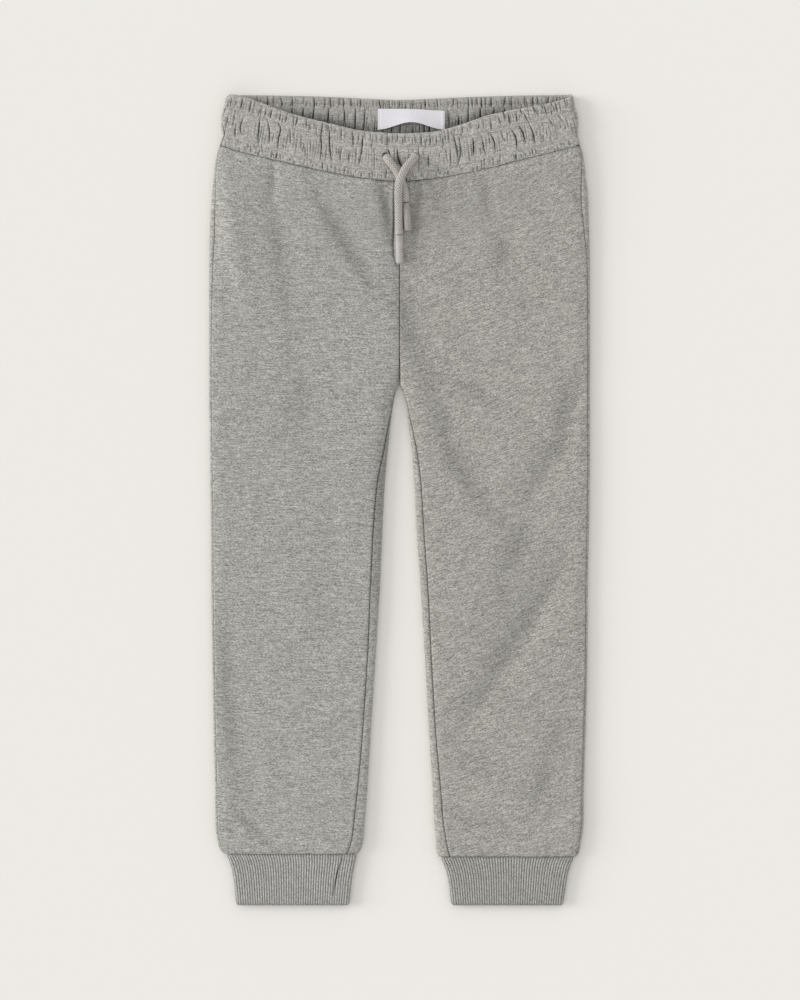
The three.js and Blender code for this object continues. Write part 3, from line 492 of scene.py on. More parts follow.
# depth of a fold under 0, or height of a ridge, its width, how much steeper its left side is, its line
FOLDS = [
    (-3.0, 9.5, 0.2, [(22.6, 92), (28.5, 74), (35, 55), (42, 33), (56, 11), (71, -9), (85, -22)]),
    (-3.1, 12, 0.1, [(2, 178), (6.3, 148), (10, 129), (15, 111), (23, 92)]),
    (-2.1, 6, 0, [(28, 95), (48, 85), (63, 77), (85, 69)]),
    (-2.8, 8.5, -0.2, [(139, 95), (131, 77), (127, 63), (123, 44), (111, 26), (100, 9), (93, -4)]),
    (-3.0, 8.5, -0.2, [(124, -42), (108, -74), (93, -100), (78, -122), (63, -144), (49, -164)]),
    (-3.2, 8, 0.2, [(-67, 240), (-51, 211), (-37, 188), (-25, 170), (-12, 150)]),
    (-2.2, 9, 0.1, [(-98, 230), (-90, 200), (-83, 162), (-77, 130)]),
    (-1.9, 9, 0.1, [(-129, -74), (-124, -148), (-117, -203), (-112, -226)]),
    (-2.0, 8, 0, [(100, -18), (91, -34), (76, -52)]),
    (-1.6, 3, 0, [(-94, 253), (-93, 231), (-95, 220)]),
    (-2.4, 4.2, 0, [(-13, 238), (-9.6, 218), (-5.5, 192)]),
    (-2.4, 3.6, 0, [(12.2, 240), (11.2, 215), (8.2, 188)]),
    (-1.4, 4.5, 0, [(22, 235), (30, 218), (39, 196)]),
    (-1.8, 5, 0, [(61, 240), (67, 218), (71, 203)]),
    (-1.8, 6, 0, [(81, 198), (78, 182), (75, 166)]),
    (-1.3, 6.5, 0, [(116, -190), (110, -207), (101, -224)]),
    (-1.4, 9, 0, [(44, -180), (61, -194), (80, -202)]),
    (-1.9, 4.5, 0, [(30, -227), (56, -237), (88, -246)]),
    (-1.8, 4, 0, [(-120, -229), (-105, -244), (-90, -259)]),
    (-0.8, 7, 0, [(-72, 88), (-70, 70), (-68, 51)]),
    (-1.3, 3, 0, [(131, 232), (133.5, 212)]),
    (3.0, 9, 0, [(-129, 236), (-124, 196), (-114, 150)]),
    (-1.6, 3.2, 0, [(2.8, 233), (4.8, 217), (6.4, 200)]),
    (-1.6, 18, 0, [(104, -12), (90, -60), (62, -118)]),
    (-1.4, 17, 0, [(124, -140), (120, -180), (104, -236)]),
    (-1.0, 14, 0, [(-76, 128), (-70, 60), (-66, 10)]),
    (-0.7, 14, 0, [(-52, 20), (-56, -60), (-58, -130)]),
    (-1.0, 9, 0, [(66, 200), (84, 176), (98, 140)]),
]
LARGE_FOLDS = 8
# the deep narrow crease beside the middle seam, at the long cord's left edge, and the shade beside it
MIDDLE_CREASE = [(-3.9, 235), (-3.9, 205), (-3.4, 176), (-1.4, 171)]
MIDDLE_SHADE = [(-12, 236), (-9, 218), (-5, 195)]
FOLD_FADE = 10


def band_crown(x):
    """How high the front band's middle stands over its side folds."""
    return 3 * np.clip(1 - (x / 128) ** 2, 0, 1)


def seam_height(x):
    """Where the waist seam of the front lies."""
    return through(BAND[:, 0], BAND[:, 3], x)


def tube_point(width, height, along):
    """A point of a flattened tube, along its cloth from a fold: how far in, how high, which way is out."""
    r = height / 2
    quarter = np.pi * r / 2
    half = width - height + 2 * quarter
    whole_way = np.mod(along, 2 * half)
    under = whole_way > half
    on = np.where(under, 2 * half - whole_way, whole_way)
    sign = np.where(under, -1.0, 1.0)
    near = np.clip(on / r, 0, np.pi / 2)
    far = np.clip((half - on) / r, 0, np.pi / 2)
    inward = r - r * np.cos(near) + np.clip(on - quarter, 0, width - height) + r * np.cos(far)
    up = sign * np.sin(near) * np.sin(far)
    return inward, r + r * up, np.cos(far) - np.cos(near), up


def crease(at_x, at_y, depth, width, lean, line, sharp=2.0, knots_in=24):
    """How far one crease moves each point: most in its middle, and less towards its ends."""
    at_x, at_y = np.broadcast_arrays(at_x, at_y)
    low, high = np.min(line, axis=0) - 4 * width, np.max(line, axis=0) + 4 * width
    within = (at_x > low[0]) & (at_x < high[0]) & (at_y > low[1]) & (at_y < high[1])
    moved = np.zeros(at_x.shape)
    x, y = at_x[within], at_y[within]
    knots, run = bent_line(line, knots_in)
    nearest = np.full(x.shape, 1e9)
    share = np.zeros(x.shape)
    hand = np.zeros(x.shape)
    for (ax, ay), (bx, by), at in zip(knots[:-1], knots[1:], run[:-1] / run[-1]):
        dx, dy = bx - ax, by - ay
        t = np.clip(((x - ax) * dx + (y - ay) * dy) / (dx * dx + dy * dy), 0, 1)
        away = np.hypot(x - ax - t * dx, y - ay - t * dy)
        closer = away < nearest
        nearest = np.where(closer, away, nearest)
        share = np.where(closer, at + t / (knots_in - 1), share)
        hand = np.where(closer, np.sign(dx * (y - ay) - dy * (x - ax)), hand)
    wide = width * (1 + lean * hand)
    fade = np.sin(np.pi * np.clip(0.1 + 0.8 * share, 0, 1))
    moved[within] = depth * fade * np.exp(-((nearest / wide) ** sharp))
    return moved


def waves(x, y, seed, longest, shortest, count):
    """A soft uneven surface, from a few waves of chance directions and lengths, about 1 high in all."""
    chance = np.random.default_rng(seed)
    total = np.zeros(np.broadcast(x, y).shape)
    for _ in range(count):
        length = chance.uniform(shortest, longest)
        heading = chance.uniform(0, 2 * np.pi)
        phase = chance.uniform(0, 2 * np.pi)
        total += np.sin(2 * np.pi * (x * np.cos(heading) + y * np.sin(heading)) / length + phase)
    return total / np.sqrt(count)


def gathers(x, below, seed, spacing, reach):
    """Short uneven puckers that run down from a gathered seam: below is the distance from it."""
    chance = np.random.default_rng(seed)
    total = np.zeros(np.broadcast(x, below).shape)
    place = -145.0
    while place < 145:
        wide = chance.uniform(1.0, 2.2)
        long = reach * chance.uniform(0.5, 1.5)
        slant = chance.uniform(-0.12, 0.12)
        deep = chance.uniform(0.3, 1.0)
        total -= deep * soft(x - place - slant * below, wide) * soft(below, long)
        place += spacing * chance.uniform(0.6, 1.5)
    return total


def folded(x, y):
    """All the folds of the fronts."""
    return sum(crease(x, y, *fold) for fold in FOLDS)


def leg_relief(x, y, side):
    """Folds, puckers and soft waves of a leg, over its plain face."""
    relief = folded(x, y)
    relief = relief + crease(x, y, -1.3, 0.8, 0, MIDDLE_CREASE, knots_in=8)
    seam = seam_height(x)
    cuff_seam = LEG[side][-1, 0]
    relief = relief + 0.6 * gathers(x, seam - y, 5, 6.5, 13)
    relief = relief + 0.5 * gathers(x, y - cuff_seam, 8, 8.0, 13)
    return relief + 0.2 * waves(x, y, 3, 60, 26, 9) + 0.02 * waves(x, y, 4, 18, 9, 9)


def leg_panel(name, side, front):
    """A leg panel, front or back, laid as its CAD solid is, with its seams drawn in along its edges."""
    table = LEG[side]
    columns, rows = FRONT_GRID if front else BACK_GRID
    turn = 1 if side == "left" else -1
    level = 1 if front else -1
    y = np.linspace(table[0, 0], table[-1, 0], rows)[:, None]
    outer, inner, roll, side_roll, height = (through(table[:, 0], table[:, k], y) for k in range(1, 6))
    closed = smooth((CROTCH + CROTCH_RISE - y) / CROTCH_RISE)
    width = np.abs(inner - outer) - np.where(y > CROTCH - 20, HALF_GAP, 0)
    quarter = np.pi * height / 4
    half = width - height + 2 * quarter
    start = level * side_roll + HALF_GAP
    flat_end = width - height / 2 + quarter
    tube_end = half - level * roll - HALF_GAP
    bend = np.minimum(half - quarter, tube_end - 3)
    u = np.linspace(0, 1, columns)[None, :]
    u = u - 0.7 * np.sin(2 * np.pi * u) / (2 * np.pi)
    along = start + (tube_end - start) * u
    q, z, nq, nz = tube_point(width, height, level * along)
    beyond = along > bend
    flat_along = np.where(beyond, bend + (flat_end - bend) * (along - bend) / (tube_end - bend), along)
    share = np.where(beyond, closed, 1)
    x_in = (1 - share) * (height / 2 + flat_along - quarter) + share * q
    on_tube = np.clip(2 * z / height - 1, 0, 1)
    z = (1 - share) * (height if front else 0) + share * z
    nq, nz = share * nq, (1 - share) * level + share * nz
    on_top = (1 - share) * (1 if front else 0) + share * on_tube
    x = outer + turn * x_in
    down = np.linspace(0, 1, rows)[:, None]
    ease = 1 - smooth((WAIST_SIDE - y) / WAIST_EASE)
    seam = seam_height(x) if front else WAIST_SIDE
    placed = y + (seam - WAIST_SIDE) * ease + HALF_GAP * (2 * down - 1)
    fade = 1 - closed + closed * smooth(np.abs(x - inner) / FOLD_FADE)
    fade = smooth(np.abs(x - outer) / FOLD_FADE) * fade
    crown = 1 + band_crown(x) * (1 - smooth((seam_height(x) - placed) / 46))
    soft_fade = 0.25 + 0.75 * fade
    z = z + on_top * (fade * crown + soft_fade * leg_relief(x, placed, side))
    edge = np.minimum(along - start, tube_end - along)
    ends = np.minimum(table[0, 0] - y, y - table[-1, 0])
    drawn = 0.5 * soft(edge, 0.7) + 0.6 * soft(ends, 1.1)
    if not front:
        # shallow hollows in the face that lies on the table
        lifted = np.clip(-0.5 * sum(crease(-x, placed, *fold) for fold in FOLDS[:LARGE_FOLDS]), 0, 1.4)
        z = z + (1 - on_top) * 0.9 * lifted * fade
    x, z = x - turn * nq * drawn, z - nz * drawn
    grain = np.radians(GRAIN[side])
    cut_x = turn * along
    cut = stacked(cut_x * np.cos(grain) + y * np.sin(grain), y * np.cos(grain) - cut_x * np.sin(grain))
    flipped = (side == "left") == front
    # painted shade along the side seam, the inseam and the waist and cuff seams, and in the folds; a little
    # painted light on the ridges
    from_side, from_inside = along - start, tube_end - along
    painted_shade = SIDE_SHADE * soft(from_side, 0.6) + INSEAM_SHADE * soft(from_inside, 0.5)
    painted_shade = painted_shade + np.where(y > 0, WAIST_SHADE, CUFF_SHADE) * soft(ends, 0.6)
    painted_shade = painted_shade + FOLD_SHADE * np.clip(-folded(x, placed), -1.5, 3) * on_top
    # painted shade in the deep crease beside the middle seam, and beside it
    if front:
        painted_shade = painted_shade + crease(x, placed, 0.55, 0.7, 0, MIDDLE_CREASE, knots_in=8)
        painted_shade = painted_shade + crease(x, placed, 0.16, 4, 0, MIDDLE_SHADE, knots_in=8)
        # painted shade on the left front beside the inseam, where the leg's inner side turns away from the
        # light
        if side == "left":
            beside_strip_shade = smooth((placed + 60) / 120) * smooth((100 - placed) / 12)
            painted_shade = painted_shade + 0.2 * beside_strip_shade * soft(from_inside, 8)
    elif side == "left":
        # painted shade on the left back's inner side, which turns away from the light
        away_from_light_shade = on_top * smooth((placed + 150) / 200) * smooth((100 - placed) / 12)
        painted_shade = painted_shade + 0.34 * away_from_light_shade * (from_inside < 30)
    painted_shade = np.clip(painted_shade, -0.1, DEEPEST_PAINTED_SHADE)
    return laid_grid(name, stacked(x, placed, z), cut, facing_down=flipped, painted_shade=painted_shade)


def thicken(piece, wall):
    """Gives a sheet its wall, inwards, and closes its edges."""
    pick(piece)
    skin = piece.modifiers.new("wall", "SOLIDIFY")
    skin.thickness = wall * MM
    skin.offset = -1
    bpy.ops.object.modifier_apply(modifier=skin.name)
    bpy.ops.object.shade_smooth_by_angle(angle=np.radians(60))


fleece = melange_finish("grey_melange_fleece", (112, 110, 105), (161, 159, 153), (206, 204, 198), 6.5, 0.8)
# the right leg's fleece: a slightly darker, warmer copy of the same fleece, as painted shade
fleece_painted_shade = melange_finish(
    "grey_melange_fleece_painted_shade", (111, 108, 103), (160, 157, 151), (205, 202, 196), 6.5, 0.8)
front_left = leg_panel("front_left_panel", "left", True)
front_right = leg_panel("front_right_panel", "right", True)
for panel, finish in ((front_left, fleece), (front_right, fleece_painted_shade)):
    thicken(panel, CLOTH)
    panel.data.materials.append(finish)

# The back legs: two panels of the same fleece under the fronts. They wrap round the side folds and the
# inside leg folds, so the side seams and the inseams show on the front, and they rest on the table.
back_left = leg_panel("back_left_panel", "left", False)
back_right = leg_panel("back_right_panel", "right", False)
for panel, finish in ((back_left, fleece), (back_right, fleece_painted_shade)):
    thicken(panel, CLOTH)
    panel.data.materials.append(finish)

# The waistband: a band of fleece folded over wide elastic, gathered, and sewn through with two rows of
# stitches that make three tiers. Its front lies on its back, and its front edge dips in the middle.
BAND_WALL = 3.8
BAND_SIDE_HEIGHT = 9.5
# down the band: how far out its side folds stand
BAND_SIDES = np.array([
    (0, -127.4, 128.2), (0.1, -129.5, 129.4), (0.31, -130.4, 130.2), (0.47, -132.3, 132.6),
    (0.56, -132.4, 132.7), (0.72, -131.4, 131.6), (0.79, -130.9, 131.9), (0.87, -132.1, 132.9),
    (1, -133.4, 133.8),
])
# the band's depth, its stitch rows down it, its inside's upper row below the edge, and its three tiers
BAND_DEEP = 36
STITCH_ROWS = (0.29, 0.83)
BACK_STITCH = 6.6
TIERS = ((0, 0.29), (0.29, 0.83), (0.83, 1.02))
# the columns of a half's grid, and the rows of its gathered and its plain face
BAND_GRID = {"front": (860, 54, 6), "back": (760, 50, 6)}
# creases of the band's front face: depth, and the places that each one runs through
FRONT_CREASES = [
    (1.5, (-115.5, 296.9), (-117.3, 288.2)), (1.5, (-109.3, 294.7), (-110.9, 286.0)),
    (1.7, (-103.1, 281.2), (-104.4, 263.2)), (1.0, (-102.2, 289.8), (-102.9, 285.0)),
    (1.5, (-93.8, 288.5), (-95.4, 282.0)), (1.1, (-87.3, 286.6), (-88.4, 280.1)),
    (1.1, (-82.4, 285.5), (-84.0, 279.0)), (1.6, (-75.1, 282.8), (-76.7, 275.8)),
    (1.3, (-68.3, 281.2), (-68.9, 274.7)), (0.8, (-61.6, 277.4), (-61.0, 268.7)),
    (1.9, (-56.6, 277.9), (-58.0, 268.7), (-57.5, 262.2), (-58.5, 250.1)),
    (1.3, (-114.8, 282.8), (-117.7, 274.7), (-116.1, 268.7)),
    (1.7, (-97.4, 280.1), (-96.0, 273.0), (-96.3, 263.2)),
    (2.3, (-89.2, 277.9), (-87.8, 274.7), (-89.5, 265.4), (-89.7, 258.9)),
    (1.2, (-80.8, 274.1), (-80.5, 263.2)), (0.8, (-77.6, 271.9), (-78.4, 266.5)),
    (1.1, (-86.0, 263.2), (-85.4, 258.9)), (1.2, (-93.8, 256.7), (-94.6, 252.4)),
    (1.3, (-90.1, 256.3), (-90.9, 251.3)), (0.8, (-87.0, 255.1), (-87.8, 250.8)),
    (0.8, (-121.8, 274.1), (-121.3, 268.7)), (0.8, (-111.7, 263.2), (-111.5, 260.0)),
    (0.7, (-101.7, 262.2), (-101.2, 256.3)), (1.0, (-69.7, 260.5), (-69.4, 253.5)),
    (0.9, (-130.4, 276.3), (-129.4, 269.8)), (0.8, (-126.8, 281.7), (-126.2, 275.8)),
    (2.3, (-51.4, 273.7), (-51.4, 259.5), (-50.0, 250.1)), (1.2, (-42.9, 274.6), (-42.9, 265.2)),
    (1.3, (-34.5, 271.8), (-33.9, 259.5)), (1.9, (-26.9, 268.9), (-27.6, 259.5), (-29.3, 248.7)),
    (1.3, (-37.3, 255.7), (-37.7, 249.1)), (0.8, (-43.8, 255.7), (-43.4, 250.1)),
    (0.7, (-20.0, 266.0), (-20.8, 259.0)), (1.7, (-8.9, 269.9), (-9.2, 260.4)),
    (1.2, (-1.4, 269.9), (-1.4, 264.2)), (1.2, (4.2, 269.9), (4.2, 263.2)),
    (0.8, (-4.6, 269.5), (-5.2, 264.2)), (2.6, (-1.4, 258.6), (-1.1, 251.0), (1.4, 244.4)),
    (2.6, (-0.9, 254.0), (0.1, 249.0), (2.2, 244.8)), (2.4, (-8.5, 258.6), (-6.6, 252.9)),
    (1.8, (8.9, 252.9), (5.2, 249.1)), (1.2, (16.0, 269.9), (16.5, 260.4)),
    (1.0, (19.3, 266.1), (19.6, 259.5)), (1.3, (22.6, 268.9), (22.6, 260.4)),
    (1.6, (21.2, 253.8), (21.2, 245.4)), (1.1, (27.1, 268.9), (27.4, 261.4)),
    (1.1, (-9.5, 244.4), (-9.9, 236.9)), (0.8, (32.0, 266.5), (32.2, 259.0)),
    (0.9, (14.0, 252.0), (14.2, 241.0)), (0.8, (28.4, 246.5), (28.6, 240.5)),
    (0.8, (11.5, 268.5), (11.8, 262.0)), (1.1, (35.7, 273.7), (36.7, 262.3)),
    (1.8, (39.5, 270.8), (41.8, 260.4), (43.3, 250.1)), (1.6, (44.2, 268.0), (44.5, 252.0), (42.8, 246.3)),
    (1.2, (37.6, 259.5), (38.1, 246.3)), (1.4, (54.6, 266.1), (54.6, 253.8)),
    (0.9, (58.8, 278.3), (57.9, 272.7)), (1.4, (60.7, 268.0), (62.1, 260.4), (63.7, 253.8)),
    (1.7, (67.4, 279.3), (67.8, 273.7)), (2.3, (66.4, 270.8), (69.6, 265.2), (70.6, 256.7)),
    (1.3, (73.0, 283.1), (74.9, 276.5)), (1.1, (74.9, 271.8), (76.7, 265.2)),
    (1.7, (80.1, 285.0), (81.9, 277.5)), (2.3, (82.4, 273.2), (85.3, 269.0), (86.7, 258.6)),
    (1.3, (85.3, 286.0), (87.1, 278.4)), (2.4, (88.1, 276.5), (91.4, 269.9), (93.2, 263.3)),
    (1.5, (91.8, 286.0), (94.7, 279.3)), (1.7, (95.2, 278.4), (98.5, 270.9), (100.3, 262.4)),
    (1.6, (106.5, 291.6), (108.9, 284.1)), (1.5, (115.0, 293.5), (116.4, 286.9)),
    (0.9, (106.1, 268.9), (106.5, 264.2)), (1.2, (109.8, 281.2), (113.5, 276.5)),
    (1.1, (116.4, 285.0), (121.2, 278.4)), (1.2, (130.5, 287.8), (132.4, 279.3)),
    (0.9, (99.5, 290.0), (101.5, 284.5)), (0.9, (85.8, 254.8), (86.3, 250.5)),
    (0.9, (62.5, 252.0), (62.8, 246.5)), (0.8, (74.0, 256.5), (74.3, 250.5)),
    (0.9, (110.5, 268.5), (112.5, 264.5)), (0.7, (98.0, 259.5), (98.4, 254.5)),
    (2.2, (133.8, 263.2), (131.0, 260.4)), (1.4, (76.2, 288.5), (77.6, 281.5)),
    (1.3, (88.6, 291.2), (89.9, 285.0)), (1.5, (98.2, 293.0), (99.6, 286.5)),
    (1.4, (104.4, 294.6), (105.6, 288.5)), (1.5, (111.4, 296.4), (112.8, 290.0)),
    (1.2, (121.2, 298.6), (122.8, 292.0)),
]
# the same of the back's inside: above its stitch row, then below it
BACK_CREASES = [
    (1.6, (-97.6, 299), (-97.8, 290.5)), (0.9, (-105.5, 299), (-105.3, 293)),
    (1.2, (-88.1, 299), (-86.5, 292)), (1.4, (-79.2, 299), (-79.0, 291)), (0.9, (-70.5, 298.5), (-71.3, 294)),
    (1.3, (-63.2, 299), (-63.2, 290.5)), (1.0, (-55.2, 298.5), (-55.2, 292)),
    (1.5, (-51.2, 298.5), (-51.2, 291)), (0.8, (-44.4, 298), (-44.2, 291.5)),
    (1.2, (-41.5, 298), (-41.5, 291)), (1.2, (-36.0, 298), (-36.0, 292.5)),
    (1.1, (-28.4, 297.5), (-28.7, 291)), (1.7, (-15.1, 297), (-14.0, 290.5)), (1.0, (-7.5, 297), (-7.5, 291)),
    (1.3, (0, 296.5), (0, 290.5)), (0.8, (10.8, 297), (10.8, 291)), (1.6, (19.0, 297), (19.2, 290.5)),
    (1.3, (27.7, 297.5), (28.4, 291)), (1.4, (40.0, 298), (40.0, 292)), (1.2, (50.9, 298), (51.3, 291)),
    (0.8, (53.6, 298), (53.8, 292)), (1.0, (57.0, 298.5), (57.2, 292)), (1.6, (60.8, 298.5), (60.8, 290.5)),
    (1.0, (64.0, 298.5), (64.0, 292)), (1.3, (68.2, 298.5), (67.6, 291)), (1.7, (78.5, 299), (77.0, 291)),
    (0.9, (83.2, 299), (83.0, 292)), (1.2, (92.8, 299), (92.6, 294)), (1.6, (98.8, 299), (98.9, 292)),
    (0.9, (102.3, 299), (102.5, 293)), (1.6, (110.5, 299), (109.8, 293)), (1.1, (116.8, 299), (116.6, 295)),
    (2.4, (-79.5, 290), (-79.8, 283)), (2.6, (-71.0, 290), (-72.3, 280)), (2.6, (-63.3, 290), (-64.6, 278)),
    (2.6, (-52.3, 290), (-53.4, 276)), (1.4, (-41.0, 290), (-40.0, 276)), (2.5, (-32.5, 290), (-33.0, 272)),
    (2.0, (-25.5, 290), (-26.4, 274)), (1.3, (-6.1, 280), (-5.9, 270)), (1.2, (0.4, 280), (0.4, 270)),
    (1.6, (18.4, 280), (18.4, 270)), (2.0, (22.2, 279), (22.2, 270)), (1.3, (35.8, 289), (36.6, 276)),
    (2.2, (44.0, 284), (43.7, 274)), (1.8, (51.0, 290), (50.8, 276)), (2.6, (60.0, 290), (59.6, 280)),
    (2.6, (70.4, 290), (69.2, 282)), (1.8, (78.0, 290), (77.6, 285)), (1.2, (-90.0, 289), (-91.0, 280)),
    (1.5, (-100.0, 289), (-101.0, 278)), (1.3, (88.0, 289), (88.5, 279)), (1.5, (100.0, 289), (101.0, 277)),
    (1.4, (-110.0, 288), (-111.5, 272)), (1.4, (112.0, 288), (113.0, 270)), (1.2, (-46.0, 272), (-47.0, 264)),
    (1.2, (10.0, 274), (9.0, 265)), (1.2, (66.0, 276), (65.0, 265)), (1.2, (-85.0, 276), (-86.0, 265)),
]
# the two buttonholes: their middles
BUTTONHOLES = [(-10.2, 253.9), (11.9, 253.4)]


def band_relief(x, down, y, front):
    """How deep a band's gathered face lies, and how much painted shade darkens it: stitch rows, creases and
    puckers.
    """
    x, down = np.broadcast_arrays(x, down)
    rows = [(down - row) * BAND_DEEP for row in STITCH_ROWS]
    if not front:
        rows[0] = BAND[0, 1] - BACK_STITCH - y
    deep = sum(0.5 * soft(row, 1.1) for row in rows)
    # painted shade in the stitch holes along each row
    dark = sum(0.16 * soft(row, 0.5) * (1 + np.sin(2 * np.pi * x / 2.3)) for row in rows)
    chance = np.random.default_rng(21 if front else 33)
    # each crease sinks in and takes painted shade
    for depth, *line in (FRONT_CREASES if front else BACK_CREASES):
        deep = deep + crease(x, y, depth, 0.45, 0, line, 1.5, 6)
        deep = deep + crease(x, y, 0.06 * depth, 1.4, 0, line, 2.0, 6)
        dark = dark + crease(x, y, min(DEEPEST_PAINTED_SHADE, 0.52 * depth), 0.36, 0, line, 2.0, 6)
    slope = -0.2 * np.clip(x / 134, -1, 1)
    for top, bottom in TIERS:
        place = -134.0
        while place < 134:
            strong = chance.uniform(0.25, 1.0)
            wide = chance.uniform(0.28, 0.52)
            first = top + (bottom - top) * chance.uniform(-0.05, 0.5)
            last = bottom + (bottom - top) * chance.uniform(-0.5, 0.05)
            t = (down - first) / (last - first)
            away = x - place + (slope + chance.uniform(-0.08, 0.08)) * (down - 0.5) * BAND_DEEP
            drop = strong * np.sin(np.pi * np.clip(t, 0, 1)) ** 0.6 * np.exp(-((np.abs(away) / wide) ** 1.6))
            deep = deep + drop
            # painted shade in each pucker
            dark = dark + 0.46 * drop
            place += chance.uniform(1.5, 3.1)
    if front:
        for hole_x, hole_y in BUTTONHOLES:
            away = np.hypot((x - hole_x) / 2.1, (y - hole_y) / 1.9)
            deep = deep + 2.6 * np.exp(-(away ** 4)) - 0.4 * soft(away - 1.45, 0.3)
            # painted shade in the buttonhole
            dark = dark + 0.55 * np.exp(-(away ** 4))
    else:
        # painted shadow under the front band's edge, and a little painted shade all over the back's inside
        from_edge = np.clip(y - through(BAND[:, 0], BAND[:, 2], x), 0, 30)
        shadow_under_front = 0.4 * soft(from_edge, 6.5) * smooth((98 - np.abs(x)) / 34)
        shadow_under_front = shadow_under_front + 0.25 * soft(from_edge, 1.3)
        dark = dark + shadow_under_front + 0.05
    return deep + 0.1 * waves(x, y, 12, 20, 7, 9), dark


def band_half(name, front):
    """Half of the waistband: up its outer face, over its rounded top edge, and down its inside."""
    columns, face_rows, plain_rows = BAND_GRID["front" if front else "back"]
    r = BAND_WALL / 2
    turn = np.linspace(0, np.pi, 11)[1:-1]
    outer_rows, inner_rows = (face_rows, plain_rows) if front else (plain_rows, face_rows)
    rise = np.concatenate([np.linspace(0, 1, outer_rows), np.ones(9), np.linspace(1, 0, inner_rows)])[:, None]
    over = np.concatenate([np.zeros(outer_rows), np.sin(turn), np.zeros(inner_rows)])[:, None]
    depth = np.concatenate([np.zeros(outer_rows), r * (1 - np.cos(turn)), np.full(inner_rows, BAND_WALL)])
    depth = depth[:, None]
    level = 1 if front else -1
    down = 1 - rise * 0.955 - 0.045 * over
    left = through(BAND_SIDES[:, 0], BAND_SIDES[:, 1], down)
    right = through(BAND_SIDES[:, 0], BAND_SIDES[:, 2], down)
    width = right - left
    quarter = np.pi * BAND_SIDE_HEIGHT / 4
    half = width - BAND_SIDE_HEIGHT + 2 * quarter
    start = level * 3.7 + HALF_GAP
    u = np.linspace(0, 1, columns)[None, :]
    along = start + (half - 2 * start) * u
    q, z, nq, nz = tube_point(width, BAND_SIDE_HEIGHT, level * along)
    x = left + q
    top = through(BAND[:, 0], BAND[:, 2 if front else 1], x)
    seam = (seam_height(x) if front else WAIST_SIDE) + HALF_GAP
    y = seam + (top - r - seam) * rise + r * over
    relief, dark = band_relief(x, down, y, front)
    y = y - 1.5 * np.clip(dark, 0, 1) * rise ** 4
    shown = (depth < r) if front else (depth > r)
    from_seam = (1 - down) * BAND_DEEP
    relief = np.where(shown, relief + 0.6 * soft(from_seam, 1.3), 0)
    # painted shade from the band's relief, and more along the waist seam
    painted_shade = np.where(shown, dark + 0.24 * soft(from_seam, 0.6), 0)
    deep = depth + (relief if front else -relief)
    raised = band_crown(x) * np.clip(2 * z / BAND_SIDE_HEIGHT - 1, 0, 1) if front else 0
    points = stacked(x - nq * deep, y, z - nz * deep + raised)
    loop = np.concatenate([[0], np.cumsum(np.abs(np.diff((rise * 34 + over * 3 - depth)[:, 0])))])[:, None]
    cut = stacked(along * 1.25, loop)
    points = np.concatenate([points, points[:1]])
    painted_shade = np.clip(np.concatenate([painted_shade, painted_shade[:1]]), 0, DEEPEST_PAINTED_SHADE)
    cut = np.concatenate([cut, cut[-1:] + [0, BAND_WALL]])
    band = laid_grid(name, points, cut, ring=True, facing_down=front, painted_shade=painted_shade)
    close_ends(band)
    return band


band_fleece = melange_finish("band_fleece", (118, 115, 110), (168, 165, 160), (212, 209, 204), 5.0, 0.8)
band_inside = melange_finish(
    "band_fleece_inside", (120, 117, 112), (168, 165, 159), (209, 206, 200), 5.0, 0.8, contrast=1.5)
waistband_front = band_half("waistband_front_band", True)
waistband_back = band_half("waistband_back_band", False)
waistband_front.data.materials.append(band_fleece)
waistband_back.data.materials.append(band_inside)

# The cuffs: two tubes of rib knit, each sewn to a leg's gathered end. The ribs stand up all round and
# spread a little at the cuff seam.
CUFF_WALL = 1.7
RIB_HEIGHT = 0.6
CUFF_HEIGHT = 5.6
# y, left edge, right edge
CUFF = {
    "left": np.array([
        (-262, -129.3, -31.1), (-268, -126.0, -32.4), (-280, -123.2, -34.8), (-300, -121.2, -36.9),
    ]),
    "right": np.array([
        (-264, 29.4, 130.3), (-270, 32.5, 127.1), (-280, 35.6, 124.4), (-300, 38.1, 121.4),
    ]),
}
CUFF_RIBS = 49
CUFF_DEEP = 36
LEFT_CUFF_CREASE = [(-41.8, -263.9), (-45.5, -274), (-47.6, -284), (-48.8, -293)]


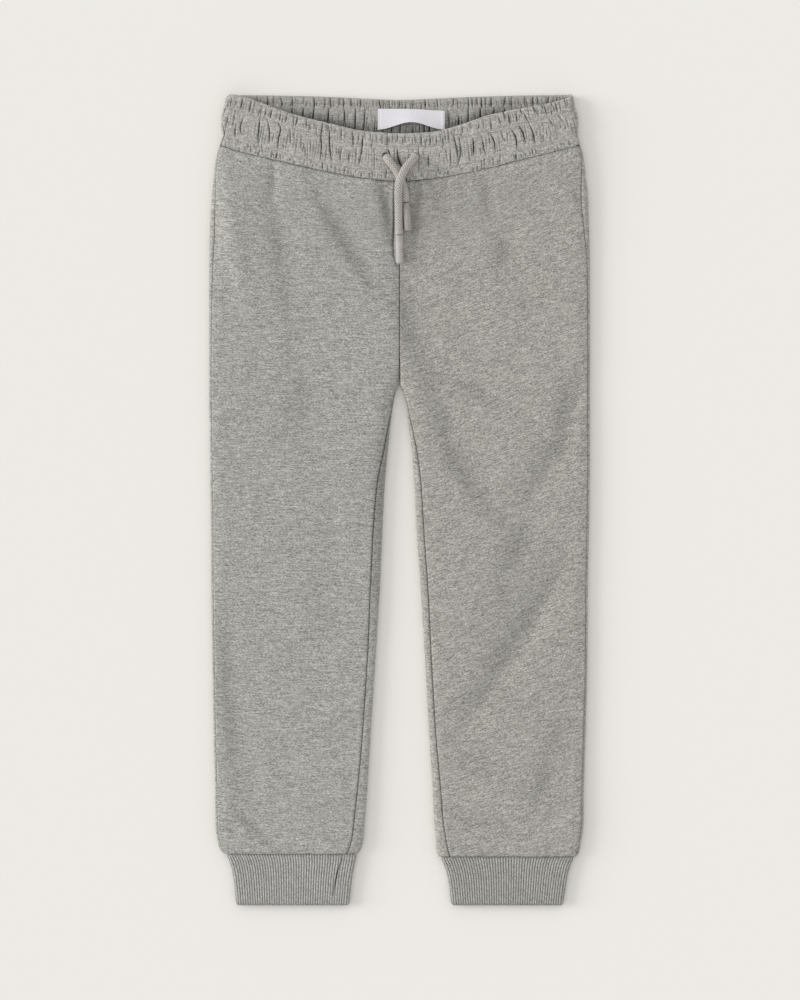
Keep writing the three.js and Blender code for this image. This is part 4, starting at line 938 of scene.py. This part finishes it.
def cuff(name, side):
    """A cuff's tube, round its top face, folds and underside, with its ribs."""
    table = CUFF[side]
    down = np.linspace(0, 1, 44)
    down = (down - 0.35 * np.sin(2 * np.pi * down) / (2 * np.pi))[:, None]
    y = table[0, 0] - HALF_GAP + (table[-1, 0] - table[0, 0] + HALF_GAP) * down
    near, far = (through(table[:, 0], table[:, k], y) for k in (1, 2))
    width = far - near - 2 * RIB_HEIGHT
    quarter = np.pi * CUFF_HEIGHT / 4
    half = width - CUFF_HEIGHT + 2 * quarter
    share = np.linspace(0, 2, 2 * CUFF_RIBS * 6 + 1)[None, :]
    from_seam, from_hem = down * CUFF_DEEP, (1 - down) * CUFF_DEEP
    along = np.where(share <= 1, share, share - 2) * half
    q, z, nq, nz = tube_point(width, CUFF_HEIGHT, along)
    rib = np.abs(np.sin(np.pi * share * CUFF_RIBS))
    fade = 1 - 0.55 * soft(from_seam, 2) - 0.5 * soft(from_hem, 1.2)
    out = RIB_HEIGHT * (rib ** 0.7) * fade - (0.9 * soft(from_seam, 1.3) + 0.9 * soft(from_hem, 0.9))
    x = near + RIB_HEIGHT + q + nq * out
    z = z + nz * out + RIB_HEIGHT * np.clip(-nz, 0, 1)
    # painted shade between the ribs and along the seam and the hem
    painted_shade = 0.6 * (1 - rib) ** 1.3 + 0.1 * soft(from_seam, 0.8) + 0.2 * soft(from_hem, 1.4)
    if side == "left":
        # the left cuff's crease, with painted shade in it
        deep = crease(x, y, 1.0, 0.5, 0, LEFT_CUFF_CREASE, 2.0, 8) * (nz > 0)
        z = z - deep
        painted_shade = painted_shade + 0.7 * deep
    cut = stacked(share * 97.0, y)
    painted_shade = np.clip(painted_shade, 0, DEEPEST_PAINTED_SHADE)
    piece = laid_grid(name, stacked(x, y, z), cut, ring=True, facing_down=True, painted_shade=painted_shade)
    thicken(piece, CUFF_WALL - 0.3)
    return piece


rib_knit = melange_finish("grey_rib_knit", (128, 126, 121), (177, 175, 170), (218, 216, 211), 1.0, 1.4)
# the right cuff's rib knit: a slightly darker copy of the same knit, as painted shade
rib_knit_painted_shade = melange_finish(
    "grey_rib_knit_painted_shade", (124, 122, 116), (171, 169, 163), (211, 209, 203), 1.0, 1.4)
cuff_left = cuff("cuff_left_tube", "left")
cuff_right = cuff("cuff_right_tube", "right")
for tube, finish in ((cuff_left, rib_knit), (cuff_right, rib_knit_painted_shade)):
    tube.data.materials.append(finish)

# The neck label: a short strip of white woven satin with its ends folded under and sewn to the inside of
# the back waistband, and its middle bowed up. It is blank.
LABEL_WALL = 0.5


def label_points():
    """The label's places and its cut."""
    across = np.linspace(0, 1, 70)[None, :]
    down = np.linspace(0, 1, 22)[:, None]
    arch = np.sin(np.pi * across) ** 2
    x = -16.2 + 49.7 * across
    top = 289.3 + 0.4 * arch - 1.6 * across
    y = top + (273.8 + 5.2 * arch - top) * down
    z = 5.1 + 2.6 * arch * (0.35 + 0.65 * down) + 0.12 * np.sin(5 * np.pi * across) * down
    z = z + 0.45 * soft(across - 0.972, 0.009) - 0.2 * soft(across - 0.03, 0.01)
    return stacked(x, y, z), stacked(x, y)


label_finish, label_tree, label_skin, threads = clouded_finish(
    "white_satin", 0.5, 0.1, 0.25, (214, 210, 215), (234, 231, 236), 1.0, 1.0)
label_cut = node(label_tree, "ShaderNodeUVMap", uv_map="cut").outputs["UV"]
label_map = node(label_tree, "ShaderNodeMapping", {"Vector": label_cut, "Scale": (900.0, 2600.0, 1.0)})
label_tree.links.new(label_map.outputs[0], threads.inputs["Place"])
surfaced(label_tree, label_skin, threads, 0.3, 0.1)
places, cut = label_points()
label = laid_grid("label_strip", places[::-1], cut[::-1])
thicken(label, LABEL_WALL)
label.data.materials.append(label_finish)

# Everything is one garment, and each finished piece takes the place of its plain solid.
solids = {
    "front_left": front_left, "front_right": front_right, "back_left": back_left, "back_right": back_right,
    "waistband_front": waistband_front, "waistband_back": waistband_back, "cuff_left": cuff_left,
    "cuff_right": cuff_right, "cord_long": cord_long, "cord_short": cord_short, "tip_long": tip_long,
    "tip_short": tip_short, "label": label,
}
for solid, piece in solids.items():
    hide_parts(solid)
    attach(piece, "root")
